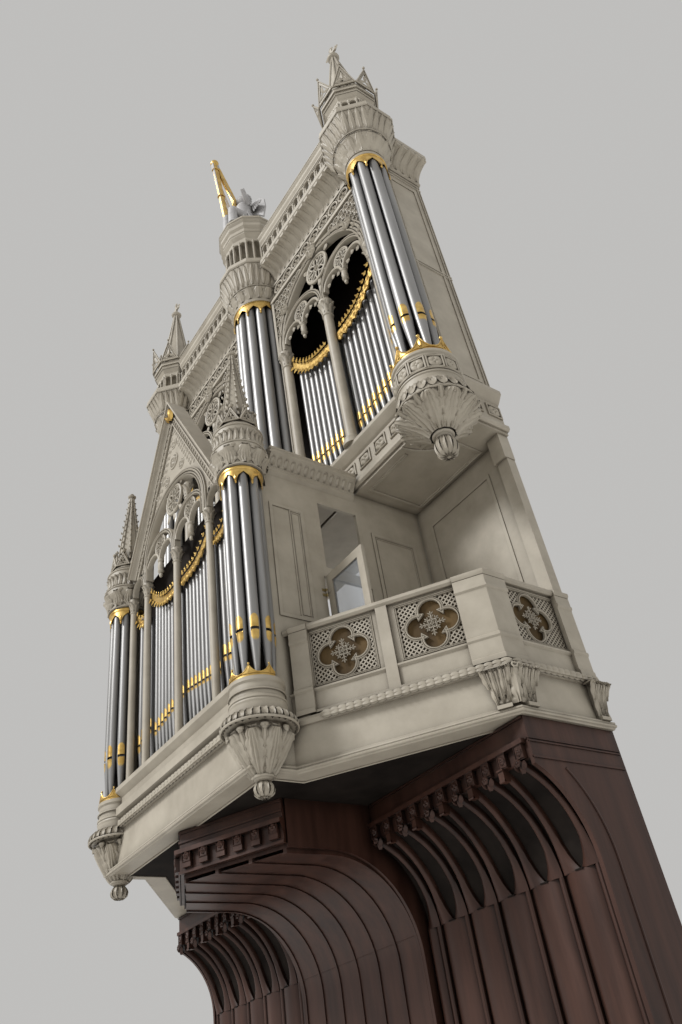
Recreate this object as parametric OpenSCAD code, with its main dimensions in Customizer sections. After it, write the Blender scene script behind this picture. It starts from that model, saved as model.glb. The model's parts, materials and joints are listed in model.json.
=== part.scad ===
// Church pipe organ on a gallery against a wall: oak base, gallery with a balustrade,
// front case on the gallery's edge and main case above. All sizes in millimetres.
// X runs along the front, Y is negative towards the nave, Z is up from the floor.
// The origin is the bottom centre of the back face, which stands against the wall.

/* [Gallery] */
// Height of the underside of the gallery above the floor
gallery_z = 4500; // [3600:50:6000]
// Height of the gallery's band of boards, from its underside to its floor
gallery_band_h = 580; // [450:10:900]
// Thickness of the boards of the gallery's floor
floor_t = 45; // [25:5:80]
// Half of the gallery's width
gallery_half_w = 3720; // [3500:10:4400]
// Depth of the gallery from the wall to its front edge
gallery_depth = 3180; // [2900:10:3800]
// Depth of the gallery's straight sides beside the wall
gallery_side_d = 1340; // [1000:10:1800]
// Thickness of the boards that face the gallery
facing_t = 40; // [20:5:80]
// Height of the carved strip at the level of the gallery's floor
leaf_strip_h = 90; // [50:5:160]

/* [Balustrade] */
// Height of the hand rail's top above the gallery's floor
rail_h = 1100; // [900:10:1300]
// Thickness of the hand rail
rail_t = 85; // [50:5:140]
// Height of the plain board under the pierced panels
kerb_h = 300; // [150:10:400]
// Width of a balustrade post
post_w = 130; // [90:5:200]
// Thickness of the pierced panels
panel_t = 24; // [12:2:40]
// Distance between the bars of the lattice
lattice_pitch = 90; // [60:1:120]
// Width of a bar of the lattice
lattice_bar = 20; // [12:1:32]

/* [Console block] */
// Half of the width of the block under the main case
block_half_w = 1800; // [1650:10:2000]
// Height of the block above the gallery's floor
block_h = 3620; // [3000:20:4400]
// Height of the moulding round the block's top
block_moulding_h = 410; // [250:10:500]
// Thickness of the block's walls
wall_t = 45; // [30:5:80]
// Room between the open door's leaf and the balustrade, measured along the depth
door_rail_gap = 25.4; // [5:0.2:150]
// Width of the doorway
door_w = 760; // [650:10:900]
// Height of the doorway
door_h = 2030; // [1900:10:2200]
// Thickness of the door's leaf
door_t = 40; // [25:5:60]
// Height of the wall above the light over the doorway
light_top = 390; // [250:10:600]
// Height of the transom between the doorway and the light
transom_h = 150; // [80:10:250]

/* [Main case] */
// Depth of the main case from the wall to its front boards
main_depth = 1200; // [1000:10:1500]
// Distance by which the main case stands out beside the gallery
main_overhang = 20; // [0:5:100]
// Height of the band under the main pipes
main_base_h = 760; // [600:10:900]
// Height of the main columns from base to springing
main_column_h = 3350; // [2800:10:4000]
// Radius of the shaft of a main column
main_column_r = 85; // [60:5:120]
// Distance from the middle of the case to the first column of a bay
bay_from_x = 700; // [680:10:800]
// Width of the moulding round the large arch
arch_w = 210; // [120:5:260]
// Height by which the arches are raised over the capitals
arch_stilt = 130; // [0:10:300]
// Height of the pierced band over the arches
frieze_h = 450; // [400:10:800]
// Height of the hollow cornice over the pierced band
cornice_h = 600; // [500:10:1000]
// Distance by which the cornice stands out
cornice_out = 330; // [150:10:450]
// Height of the small arcade on top of the cornice
parapet_h = 950; // [400:10:1100]

/* [Front case] */
// Distance of the front columns' axes behind the gallery's front edge
front_setback = 90; // [60:5:140]
// Height of the front case's sill above the gallery's floor
front_sill_h = 450; // [300:10:600]
// Height of the front columns from sill to springing
front_column_h = 2860; // [2400:10:3400]
// Radius of the shaft of a front column
front_column_r = 52; // [35:1:70]
// Distance between the middle column and the next
front_bay_w = 975; // [900:5:1050]
// Distance from the middle to the columns beside the towers
front_edge_x = 1480; // [1400:5:1500]
// Height of the gable's point above the springing
gable_h = 2920; // [2000:20:3200]
// Half of the gable's width at its feet
gable_half_w = 1430; // [1300:5:1432]
// Height above the springing at which the gable meets the towers
gable_foot_h = 330; // [300:10:900]
// Thickness of the gable's raking edges
gable_t = 300; // [200:10:400]

/* [Towers] */
// Depth of the end towers' axes from the wall
end_tower_d = 1260; // [1100:10:1500]
// Depth of the middle tower's axis from the wall
mid_tower_d = 1240; // [1220:10:1400]
// Distance of the front towers' axes from the middle
front_tower_x = 1790; // [1750:5:1900]
// Radius of the core behind a main tower's pipes
main_core_r = 150; // [140:5:220]
// Outer radius of a main tower's ring of pipes
main_ring_r = 330; // [280:5:400]
// Outer radius of the middle tower's ring of pipes
mid_ring_r = 490; // [450:5:500]
// Radius of a main tower's drum
main_drum_r = 450; // [400:5:520]
// Radius of the core behind a front tower's pipes
front_core_r = 120; // [100:5:165]
// Outer radius of a front tower's ring of pipes
front_ring_r = 255; // [220:5:300]
// Radius of a front tower's drum
front_drum_r = 295; // [265:5:340]
// Height of a main tower's spire
main_spire_h = 2280; // [900:20:2400]
// Height of a front tower's spire
front_spire_h = 1560; // [900:20:2400]
// Height from the feet of the figure to the top of its harp
figure_h = 2860; // [2000:20:3200]

/* [Pipes] */
// Pipes in half of a main bay
main_bay_pipes = 9; // [6:1:12]
// Pipes in a wide front bay
front_bay_pipes = 9; // [6:1:12]
// Pipes in a narrow front bay
narrow_bay_pipes = 4; // [3:1:6]
// Pipes round a tower
tower_pipe_count = 6; // [5:1:9]
// Clear space between neighbouring pipes
pipe_gap = 6; // [3:1:20]

/* [Oak base] */
// Depth of the oak base's upright front from the wall
oak_depth = 760; // [600:10:1000]
// Thickness of the oak boards
oak_t = 45; // [25:5:80]
// Height of the fascia with its small blocks under the gallery
oak_fascia_h = 400; // [250:10:500]
// Half of the width of the vaulted middle part
vault_half_w = 1210; // [1000:10:1500]
// Depth of the vault's fascia at its two corners
vault_corner_d = 2510; // [2200:10:2800]
// Depth of the vault's fascia at its point
vault_point_d = 3100; // [2800:10:3150]
// Radius of the vault's curve
vault_r = 1050; // [800:10:1300]
// Radius of the curve of the wings
wing_r = 990; // [900:10:2000]
// Width of a rounded slat of a wing
rib_pitch = 446; // [350:1:600]
// Distance by which slats and ribs stand out from the boards behind them
rib_out = 75; // [40:5:120]
// Width of a rib of the vault
rib_w = 36; // [24:2:120]
// Height of the plain plinth on the floor
plinth_h = 320; // [150:10:500]

/* [Hidden] */

$fn = 48;
paint = "#b3ad9f";
paint_dark = "#8f8a7e";
oak = "#3b241c";
tin = "#c3c7cc";
gold = "#c79a3b";

// Running clearance between a piece and its seat where curved faces meet
fit = 0.3;
// A little more than nothing, for cuts that run past a face
past = 1;

main_half_w = gallery_half_w + main_overhang;
end_tower_x = main_half_w - 60;
bay_half_w = (end_tower_x - 380 - bay_from_x) / 2;
bay_x = bay_from_x + bay_half_w;
light_h = block_h - door_h - transom_h - light_top;

floor_z = gallery_z + gallery_band_h;
block_top_z = floor_z + block_h;
main_sill_z = block_top_z + main_base_h;
spring_z = main_sill_z + main_column_h;
arch_top_z = spring_z + arch_stilt + bay_half_w + arch_w / 2;
frieze_z = arch_top_z + 155;
cornice_z = frieze_z + frieze_h;
parapet_z = cornice_z + cornice_h;
roof_z = parapet_z + parapet_h;
front_y = -gallery_depth;
front_axis_y = front_y + front_setback;
front_sill_z = floor_z + front_sill_h;
front_spring_z = front_sill_z + front_column_h;
slant_start_d = gallery_depth - 510;
back_t = 60;

// The gallery's outline from the left wall round the front to the right wall
function gallery_path() = [
  [-gallery_half_w, 0], [-gallery_half_w, -gallery_side_d], [-block_half_w, -slant_start_d],
  [-block_half_w, front_y], [block_half_w, front_y],
  [block_half_w, -slant_start_d], [gallery_half_w, -gallery_side_d], [gallery_half_w, 0]];

function unit(v) = v / norm(v);
// Unit vector to the right of the way from a to b
function right_of(a, b) = let (d = unit(b - a)) [d[1], -d[0]];
// Direction in which the corner i of a path moves when the path is moved outwards by 1
function mitre(path, i) = let (
    last = len(path) - 1,
    before = i > 0 ? right_of(path[i - 1], path[i]) : right_of(path[0], path[1]),
    after = i < last ? right_of(path[i], path[i + 1]) : right_of(path[last - 1], path[last]))
  (before + after) / (1 + before * after);
// The path moved outwards by d
function grown(path, d) = [for (i = [0 : len(path) - 1]) path[i] + d * mitre(path, i)];
// Points of an arc round c, from angle a to angle b
function arc(c, r, a, b, steps) = [for (i = [0 : steps]) c + r * [cos(a + (b - a) * i / steps),
  sin(a + (b - a) * i / steps)]];

module both_sides() {
  children();
  mirror([1, 0, 0]) children();
}

// A moulding whose section [out, up] is carried along a path in plan, with mitred corners
module run_moulding(path, section) {
  n = len(section);
  rings = len(path);
  points = [for (i = [0 : rings - 1]) let (m = mitre(path, i)) for (q = section)
    [path[i][0] + m[0] * q[0], path[i][1] + m[1] * q[0], q[1]]];
  skin = [for (i = [0 : rings - 2]) for (k = [0 : n - 1]) let (l = (k + 1) % n)
    [i * n + l, (i + 1) * n + l, (i + 1) * n + k, i * n + k]];
  first_end = [for (k = [n - 1 : -1 : 0]) k];
  last_end = [for (k = [0 : n - 1]) (rings - 1) * n + k];
  polyhedron(points, concat(skin, [first_end, last_end]), convexity = 8);
}

// A straight run of a moulding from a to b, whose section [out, up] looks to the right of the way
module run_straight(a, b, section) {
  d = b - a;
  translate([a[0], a[1], 0]) rotate([0, 0, atan2(d[1], d[0])]) rotate([90, 0, 90]) linear_extrude(norm(d))
    polygon([for (q = section) [-q[0], q[1]]]);
}

// A board on edge along the path, with its outer face d outside it
module run_board(path, d, t, z, h) {
  run_moulding(path, [[d - t, z], [d, z], [d, z + h], [d - t, z + h]]);
}

// A solid that stands on an outline in the Y and Z directions, w wide and centred on x
module upright_slice(x, w) {
  translate([x - w / 2, 0, 0]) rotate([90, 0, 90]) linear_extrude(w) children();
}

// A solid whose face is an outline in the X and Z directions, t thick, with its front at y
module facing_plate(y, t) {
  translate([0, y + t, 0]) rotate([90, 0, 0]) linear_extrude(t) children();
}

// A raised frame of mouldings on a face, as an outline
module frame_2d(w, h, bar) {
  difference() {
    square([w, h]);
    translate([bar, bar]) square([w - 2 * bar, h - 2 * bar]);
  }
}

// Oak base

oak_top_z = gallery_z;
oak_half_w = gallery_half_w - 10;
wing_front_d = gallery_side_d;
wing_fascia_z = oak_top_z - oak_fascia_h;
// Height at which the wings' curve leaves the upright front
wing_curve_z = wing_fascia_z - sqrt(pow(wing_r, 2) - pow(wing_r - (wing_front_d - oak_depth), 2));
vault_fascia_z = oak_top_z - oak_fascia_h - 60;
vault_spring_z = vault_fascia_z - 40 - vault_r;
middle_wall_d = 850;
vault_rib_out = 48;
// Turn of the vault's slanting fascia out of the front's direction
vault_turn = atan2(vault_point_d - vault_corner_d, vault_half_w);
spandrel_front_d = vault_corner_d;
wing_inner_x = vault_half_w + fit;

// Section of a wing from the wall to its curved face, grown outwards by out
module wing_profile(out) {
  polygon(concat(
    [[0, 0], [-oak_depth - out, 0]],
    [for (p = arc([-oak_depth - wing_r, wing_curve_z], wing_r - out, 0,
      asin((wing_fascia_z - wing_curve_z) / (wing_r - out)), 16)) p],
    [[0, wing_fascia_z]]));
}

module oak_back() {
  color(oak) translate([-oak_half_w, -back_t, 0]) cube([2 * oak_half_w, back_t, oak_top_z]);
}

module oak_side_walls() {
  color(oak) both_sides() upright_slice(oak_half_w - oak_t / 2, oak_t) difference() {
    union() {
      intersection() {
        wing_profile(rib_out - 15);
        translate([-wing_front_d, 0]) square([wing_front_d, wing_fascia_z]);
      }
      translate([-wing_front_d, wing_fascia_z]) square([wing_front_d, oak_fascia_h]);
    }
    translate([-back_t - fit, -past]) square([back_t * 2, oak_top_z + 2 * past]);
  }
}

module oak_plinth() {
  color(oak) both_sides() {
    translate([wing_inner_x, -oak_depth - rib_out - 20, 0])
      cube([slat_from - wing_inner_x, rib_out + 20 - fit, plinth_h]);
  }
  color(oak) translate([-vault_half_w + oak_t + fit, -middle_wall_d - 70, 0])
    cube([2 * (vault_half_w - oak_t - fit), 70 - fit, plinth_h]);
}

module oak_wing_boards() {
  color(oak) both_sides()
    upright_slice((wing_inner_x + oak_half_w - oak_t) / 2, oak_half_w - oak_t - wing_inner_x - 2 * fit)
      difference() {
        wing_profile(0);
        wing_profile(-oak_t);
        translate([-oak_t, -past]) square([2 * oak_t, oak_top_z]);
      }
}

slat_from = oak_half_w - oak_t - fit;
slat_count = ceil((slat_from - wing_inner_x) / rib_pitch);
slat_groove = 4;
function slat_x(i) = slat_from - (i + 0.5) * rib_pitch;

// Keeps what lies on the wing's own side of the middle part
module wing_only() {
  intersection() {
    children();
    translate([wing_inner_x + fit, -gallery_depth, 0]) cube([gallery_half_w, gallery_depth, oak_top_z]);
  }
}

// Round-faced upright slats below the curve
module oak_wing_slats() {
  half = rib_pitch / 2 - slat_groove;
  r = (half * half + rib_out * rib_out) / (2 * rib_out);
  turn = asin(half / r);
  color(oak) both_sides() for (i = [0 : slat_count - 1]) wing_only()
    translate([slat_x(i), -oak_depth - fit, plinth_h + fit]) linear_extrude(wing_curve_z - plinth_h - 2 * fit)
      polygon(arc([0, r - rib_out], r, -90 - turn, -90 + turn, 12));
}

// The two ribs into which a slat splits above its pointed tip, seen from the front
module rib_pair_2d(h) {
  steps = 8;
  tip = 150;
  for (s = [-1, 1]) polygon(concat(
    [for (i = [0 : steps]) let (f = i / steps) [s * (rib_pitch / 2 - slat_groove - 58 * pow(f, 1.5)), h * f]],
    [for (i = [steps : -1 : 0]) let (f = i / steps) [s * 94 * pow(f, 0.7), tip + (h - tip) * f]], [[0, 0]]));
}

module oak_wing_ribs() {
  h = wing_fascia_z - wing_curve_z - 2 * fit;
  color(oak) both_sides() for (i = [0 : slat_count - 1]) wing_only() intersection() {
    upright_slice(slat_x(i), rib_pitch) difference() {
      wing_profile(rib_out - 5);
      wing_profile(fit);
      translate([-2 * gallery_depth, -past]) square([2 * gallery_depth, wing_curve_z + past]);
    }
    facing_plate(-wing_front_d, wing_front_d - oak_depth + rib_out) translate([slat_x(i), wing_curve_z]) rib_pair_2d(h);
  }
}

module oak_wing_fascias() {
  block_w = 110;
  blocks = 11;
  len = slat_from - fit - wing_inner_x;
  color(oak) both_sides() union() {
    translate([wing_inner_x, -wing_front_d, wing_fascia_z + fit]) cube([len, oak_t, oak_fascia_h - 2 * fit]);
    for (i = [0 : blocks - 1]) translate([wing_inner_x + 25 + i * (len - 50 - block_w) / (blocks - 1),
      -wing_front_d - 45, wing_fascia_z + fit]) cube([block_w, 45 + past, 140]);
    translate([wing_inner_x, -wing_front_d - 60, wing_fascia_z + 140]) cube([len, 60 + past, 45]);
  }
}

// Plan of the pointed vault between the two spandrels
module vault_plan(out) {
  polygon([[-vault_half_w + oak_t, -middle_wall_d - fit], [-vault_half_w + oak_t, -vault_corner_d - out],
    [0, -vault_point_d - out], [vault_half_w - oak_t, -vault_corner_d - out],
    [vault_half_w - oak_t, -middle_wall_d - fit]]);
}

// Section of the vault's surface, moved down and forwards by out
module vault_profile(out) {
  c = [-middle_wall_d - vault_r, vault_spring_z];
  polygon(concat(
    [[-middle_wall_d + 5, 0], [-middle_wall_d - out, 0]],
    arc(c, vault_r - out, 0, 90, 20),
    [[-vault_point_d - 200, vault_spring_z + vault_r - out], [-vault_point_d - 200, oak_top_z + past],
      [-middle_wall_d + 5, oak_top_z + past]]));
}

module oak_middle_wall() {
  color(oak) translate([-vault_half_w + oak_t + fit, -middle_wall_d, 0])
    cube([2 * (vault_half_w - oak_t - fit), oak_t, vault_spring_z + vault_r + oak_t]);
}

module oak_vault() {
  color(oak) intersection() {
    linear_extrude(oak_top_z) vault_plan(-oak_t / cos(vault_turn) - fit);
    upright_slice(0, 2 * vault_half_w) difference() {
      vault_profile(0);
      vault_profile(-oak_t);
      translate([-middle_wall_d - vault_r / 2, 0]) square([vault_r, vault_spring_z]);
    }
  }
}

vault_ribs = 7;
module oak_vault_ribs() {
  pitch = 2 * (vault_half_w - oak_t - rib_w / 2 - 2) / (vault_ribs - 1);
  color(oak) intersection() {
    translate([0, 0, plinth_h + fit]) linear_extrude(oak_top_z)
      vault_plan(-oak_t / cos(vault_turn) - fit);
    for (i = [0 : vault_ribs - 1]) upright_slice((i - (vault_ribs - 1) / 2) * pitch, rib_w) difference() {
      vault_profile(vault_rib_out);
      vault_profile(fit);
    }
  }
}

module oak_vault_fascia() {
  path = [[-vault_half_w, -vault_corner_d], [0, -vault_point_d], [vault_half_w, -vault_corner_d]];
  blocks = 6;
  z = vault_fascia_z;
  color(oak) run_moulding(path, [[-oak_t, z], [0, z], [0, z + 200], [60, z + 205], [60, z + 250], [0, z + 255],
    [0, oak_top_z - fit], [-oak_t, oak_top_z - fit]]);
  color(oak) both_sides() for (i = [0 : blocks - 1]) {
    f = (i + 0.55) / blocks;
    p = path[1] + f * (path[2] - path[1]);
    translate([p[0], p[1], vault_fascia_z + 50]) rotate([0, 0, vault_turn])
      translate([-55, -45 - fit, 0]) cube([110, 45, 140]);
  }
}

module oak_spandrels() {
  color(oak) both_sides() upright_slice(vault_half_w - oak_t / 2, oak_t) difference() {
    translate([-vault_corner_d + oak_t, 0]) square([vault_corner_d - oak_t - back_t - fit, oak_top_z]);
    c = [-middle_wall_d - vault_r, vault_spring_z];
    translate([-middle_wall_d - vault_rib_out - vault_r, vault_spring_z]) circle(r = vault_r, $fn = 96);
    translate([-vault_point_d - vault_rib_out - middle_wall_d, -past])
      square([vault_point_d + fit, vault_spring_z + past]);
    translate([-vault_point_d - 600, 0])
      square([vault_point_d + 600 - middle_wall_d - vault_rib_out - vault_r, vault_spring_z + vault_r]);
  }
}

// Gallery

module gallery_soffit() {
  color(paint_dark) difference() {
    translate([0, 0, gallery_z]) linear_extrude(facing_t) polygon(grown(gallery_path(), -facing_t - fit));
    front_towers() translate([0, 0, gallery_z - past]) cylinder(h = facing_t + 2 * past, r = 140);
  }
}

module gallery_facing() {
  z = gallery_z;
  t = floor_z - z;
  color(paint) difference() {
    run_moulding(gallery_path(), [
      [-facing_t, z], [25, z], [45, z + 20], [45, z + 55], [10, z + 90], [0, z + 110],
      [0, z + t - leaf_strip_h], [25, z + t - leaf_strip_h + 5], [45, z + t - leaf_strip_h / 2],
      [25, z + t - 5], [0, z + t], [-facing_t, z + t]]);
    front_towers() translate([0, 0, front_drum_z - fit]) rotate_extrude() polygon(front_corbel(fit));
  }
}

module gallery_floor() {
  color("#6d5a44") difference() {
    translate([0, 0, floor_z - floor_t]) linear_extrude(floor_t) polygon(grown(gallery_path(), -facing_t - fit));
    front_towers() translate([0, 0, floor_z - floor_t - past]) cylinder(h = floor_t + 2 * past, r = 345);
  }
}

corner_post_xy = [gallery_half_w - post_w / 2, -gallery_side_d + post_w / 4];
wall_post_y = -post_w / 2;

// A leaf bracket that widens upwards
module leaf_bracket(w, h, out) {
  rotate([90, 0, 90]) translate([0, 0, -w / 2]) linear_extrude(w)
    polygon([[0, -h], [-out * 0.3, -h], [-out * 0.42, -h * 0.92], [-out * 0.34, -h * 0.8], [-out * 0.4, -h * 0.55],
      [-out * 0.62, -h * 0.3], [-out * 0.92, -h * 0.16], [-out, -h * 0.08], [-out, 0], [0, 0]]);
}

module gallery_corbels() {
  z = floor_z - leaf_strip_h - fit;
  h = gallery_band_h - leaf_strip_h - 111;
  color(paint) both_sides() {
    translate([gallery_half_w + fit, -110, z]) rotate([0, 0, 90]) leaf_bracket(170, h, 110);
    translate([gallery_half_w + fit, -gallery_side_d + 105, z]) rotate([0, 0, 90]) leaf_bracket(200, h, 120);
    translate([gallery_half_w, -gallery_side_d, z]) rotate([0, 0, slant_angle]) translate([-105, -fit, 0])
      leaf_bracket(200, h, 120);
  }
}

// Balustrade

rail_z = floor_z + rail_h - rail_t;
kerb_z = floor_z + kerb_h;
// Right half of the balustrade's line: block, corner, wall
function rail_path() = [[block_half_w, -slant_start_d], [gallery_half_w, -gallery_side_d], [gallery_half_w, 0]];
rail_line = grown(rail_path(), -post_w / 2);
slant_dir = unit(rail_line[1] - rail_line[0]);
slant_len = norm(rail_line[1] - rail_line[0]);
slant_angle = atan2(slant_dir[1], slant_dir[0]);
block_end = (block_half_w + 2 * fit + post_w / 2 * (cos(slant_angle) + sin(slant_angle)) - rail_line[0][0])
  / cos(slant_angle);

// Places of the posts along the slanting side
slant_posts = [block_end, slant_len / 2 + 20, slant_len - post_w * 0.75];

module slant_place(s) {
  translate([rail_line[0][0], rail_line[0][1], 0]) rotate([0, 0, slant_angle]) translate([s, 0, 0]) children();
}
module side_place(d) {
  translate([rail_line[1][0], -d, 0]) rotate([0, 0, 90]) children();
}
wall_post_d = post_w / 2 + 2;
corner_post_d = gallery_side_d - post_w * 0.6;

module balustrade_rails() {
  path = rail_line;
  color(paint) both_sides() difference() {
    union() {
      run_moulding(path, [[-60, rail_z], [60, rail_z], [85, rail_z + 25], [85, rail_z + 55], [50, rail_z + rail_t],
        [-50, rail_z + rail_t], [-85, rail_z + 55], [-85, rail_z + 25]]);
      run_moulding(path, [[-35, floor_z + fit], [35, floor_z + fit], [35, kerb_z - 45], [60, kerb_z - 20],
        [60, kerb_z], [-60, kerb_z], [-60, kerb_z - 20], [-35, kerb_z - 45]]);
    }
    translate([0, -2 * gallery_depth, 0]) cube([block_half_w + fit, 2 * gallery_depth, rail_z * 2]);
    for (s = slant_posts) slant_place(s) translate([-post_w / 2 - fit, -post_w, floor_z])
      cube([post_w + 2 * fit, 2 * post_w, rail_h - rail_t]);
    for (d = [wall_post_d, corner_post_d]) side_place(d) translate([-post_w / 2 - fit, -post_w, floor_z])
      cube([post_w + 2 * fit, 2 * post_w, rail_h - rail_t]);
  }
}

module post() {
  translate([-post_w / 2, -post_w / 2, floor_z + fit]) cube([post_w, post_w, rail_h - rail_t - 2 * fit]);
}

module balustrade_posts() {
  color(paint) both_sides() {
    for (s = slant_posts) slant_place(s) post();
    for (d = [wall_post_d, corner_post_d]) side_place(d) post();
  }
}

lobe_r = 116;
lobe_out = 150;
// Four round lobes about a centre
module quatrefoil(extra) {
  for (a = [0 : 90 : 270]) rotate(a) translate([lobe_out, 0]) circle(r = lobe_r + extra);
}

// A pierced panel w wide and h high, as an outline
module lattice_2d(w, h) {
  edge = 34;
  step = lattice_pitch / sqrt(2);
  cols = ceil(w / lattice_pitch / 2) + 1;
  rows = ceil(h / lattice_pitch / 2) + 1;
  difference() {
    union() {
      difference() {
        square([w, h]);
        intersection() {
          translate([edge, edge]) square([w - 2 * edge, h - 2 * edge]);
          translate([w / 2, h / 2]) for (i = [-cols * 2 : cols * 2]) for (j = [-rows * 2 : rows * 2])
            if ((i + j) % 2 == 0) translate([i * lattice_pitch / 2, j * lattice_pitch / 2]) rotate(45)
              square(step - lattice_bar / 1, center = true);
        }
      }
      translate([w / 2, h / 2]) quatrefoil(30);
      translate([w / 2, h / 2]) square(2 * lobe_out, center = true);
    }
    translate([w / 2, h / 2]) quatrefoil(0);
    translate([w / 2, h / 2]) square(1.3 * lobe_out, center = true);
  }
  translate([w / 2, h / 2]) rosette_2d(lobe_out + lobe_r + 5, 8, 26);
}

// Bars that cross at a round boss, as an outline
module rosette_2d(r, arms, bar) {
  circle(r = r * 0.28);
  for (i = [0 : arms / 2 - 1]) rotate(i * 360 / arms)
    square([(i % 2 == 0 ? 2 : 1.1) * r, bar], center = true);
}

panel_h = rail_h - rail_t - kerb_h;
module lattice_at(w) {
  rotate([90, 0, 0]) translate([0, 0, -panel_t / 2]) linear_extrude(panel_t) lattice_2d(w, panel_h - 2 * fit);
}
module backing_at(w) {
  translate([0, panel_t / 2 + 12, 0]) cube([w, 8, panel_h - 2 * fit]);
}

// Puts its children between each pair of posts, with the clear width in $clear_w
module between_posts() {
  for (i = [0 : len(slant_posts) - 2]) {
    $clear_w = slant_posts[i + 1] - slant_posts[i] - post_w - 2 * fit;
    slant_place(slant_posts[i] + post_w / 2 + fit) translate([0, 0, kerb_z + fit]) children();
  }
  $clear_w = corner_post_d - wall_post_d - post_w - 2 * fit;
  side_place(corner_post_d - post_w / 2 - fit) translate([0, 0, kerb_z + fit]) children();
}

module lattice_panels() {
  color(paint) both_sides() between_posts() lattice_at($clear_w);
}

module lattice_backings() {
  color("#8a6a3a") both_sides() between_posts() backing_at($clear_w);
}

// Console block

// Depth at which the block's side walls start behind the front towers
tower_front_d = gallery_depth - front_setback - 30;
wall_start_d = tower_front_d - front_core_r - fit;
slant_slope = (slant_start_d - gallery_side_d) / (gallery_half_w - block_half_w);
door_front_d = slant_start_d - door_w * slant_slope - post_w * norm([1, slant_slope]) - door_rail_gap;
door_rear_d = door_front_d - door_w;
head_z = floor_z + door_h;
light_z = head_z + transom_h;
panel_proud = 14;
panel_low = 1300;

// A wall board on the block's right side between two depths
module block_wall(front_d, rear_d, z, h) {
  translate([block_half_w - wall_t, -front_d, z]) cube([wall_t, front_d - rear_d, h]);
}
module side_panel(x, front_d, rear_d, z, h) {
  translate([x, -front_d, z]) rotate([90, 0, 90]) linear_extrude(panel_proud) frame_2d(front_d - rear_d, h, 45);
}

module block_front_walls() {
  color(paint) both_sides() union() {
    upright_slice(block_half_w - wall_t / 2, wall_t) difference() {
      translate([-wall_start_d, floor_z + fit]) square([wall_start_d - door_front_d, block_h - 2 * fit]);
      translate([-tower_front_d, floor_z - past]) square([front_drum_r + 12 + fit, front_pipes_z + 150 - floor_z]);
      translate([-tower_front_d, front_cap_z - fit]) square([front_ring_r + 102, 2 * front_cap_h]);
    }
    side_panel(block_half_w, wall_start_d - 260, door_front_d + 200, floor_z + panel_low, block_h - panel_low - 630);
  }
}

module block_rear_walls() {
  color(paint) both_sides() union() {
    block_wall(door_rear_d, back_t + fit, floor_z + fit, block_h - 2 * fit);
    side_panel(block_half_w, door_rear_d - 160, back_t + 200, floor_z + panel_low, block_h - panel_low - 630);
  }
}

module door_heads() {
  color(paint) both_sides() difference() {
    block_wall(door_front_d - fit, door_rear_d + fit, head_z, block_h - door_h - 2 * fit);
    translate([block_half_w - wall_t - past, -door_front_d + 60, light_z])
      cube([wall_t + 2 * past, door_w - 120, light_h]);
  }
}

door_gap = 6;
door_floor_gap = 10;
hinge_r = 12;
pin_r = 6;
hinge_x = block_half_w + hinge_r + 2;
hinge_y = -door_front_d;
hinge_levels = [240, 1000, 1760];
knuckle_h = 34;
// The leaf in its closed place on the right side, with the clearances beside and below it
module door_leaf(gap, low) {
  stile = 110;
  glass_z = door_h * 0.45;
  difference() {
    translate([block_half_w - door_t, -door_front_d + gap, floor_z + low])
      cube([door_t, door_w - 2 * gap, door_h - 2 * low]);
    translate([block_half_w - door_t - past, -door_front_d + gap + stile, floor_z + glass_z])
      cube([door_t + 2 * past, door_w - 2 * gap - 2 * stile, door_h - glass_z - 130]);
  }
}
module door_glass() {
  stile = 110;
  glass_z = door_h * 0.45;
  translate([block_half_w - door_t / 2 - 3, -door_front_d + door_gap + stile + fit, floor_z + glass_z + fit])
    cube([6, door_w - 2 * door_gap - 2 * stile - 2 * fit, door_h - glass_z - 130 - 2 * fit]);
}
// Turned out on its hinge beside the front jamb, as it stands open
module door_open(angle) {
  translate([hinge_x, hinge_y, 0]) rotate([0, 0, -angle]) translate([-hinge_x, -hinge_y, 0]) children();
}
door_open_angle = 90;

// The leaf's own knuckles, bored for the pins, with their straps
module leaf_knuckles() {
  for (z = hinge_levels) translate([0, 0, floor_z + z]) difference() {
    union() {
      translate([hinge_x, hinge_y, 0]) cylinder(h = knuckle_h, r = hinge_r);
      translate([block_half_w - past, hinge_y + door_gap, 0]) cube([4 + past, 60, knuckle_h]);
      translate([block_half_w + 1, hinge_y, 0]) cube([3, door_gap + past, knuckle_h]);
    }
    translate([hinge_x, hinge_y, -past]) cylinder(h = knuckle_h + 2 * past, r = pin_r + 0.4);
  }
}

// The jamb's plates with their pins and two knuckles each
module door_hinges() {
  color("#8d7a4a") for (z = hinge_levels) translate([0, 0, floor_z + z]) {
    translate([hinge_x, hinge_y, -knuckle_h - 2]) cylinder(h = 3 * knuckle_h + 4, r = pin_r);
    for (low = [-knuckle_h - 2, knuckle_h + 2]) translate([0, 0, low]) {
      translate([hinge_x, hinge_y, 0]) cylinder(h = knuckle_h, r = hinge_r);
      translate([block_half_w + fit, hinge_y - 60, 0]) cube([4, 60, knuckle_h]);
    }
  }
}

module door_right() {
  color(paint) door_open(door_open_angle) union() {
    door_leaf(door_gap, door_floor_gap);
    leaf_knuckles();
  }
}
module door_right_glass() {
  color("#8899a0") door_open(door_open_angle) door_glass();
}
module door_left() {
  color(paint) mirror([1, 0, 0]) door_leaf(fit, fit);
}

pilaster_w = 200;
module back_panels() {
  w = gallery_half_w - pilaster_w - 20 - block_half_w - 2 * fit;
  color(paint) both_sides() union() {
    translate([block_half_w + fit, -back_t, floor_z + fit]) cube([w, back_t, block_h - 2 * fit]);
    facing_plate(-back_t - panel_proud, panel_proud)
      translate([block_half_w + 220, floor_z + 250]) frame_2d(w - 440, block_h - 600, 50);
  }
}

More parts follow.
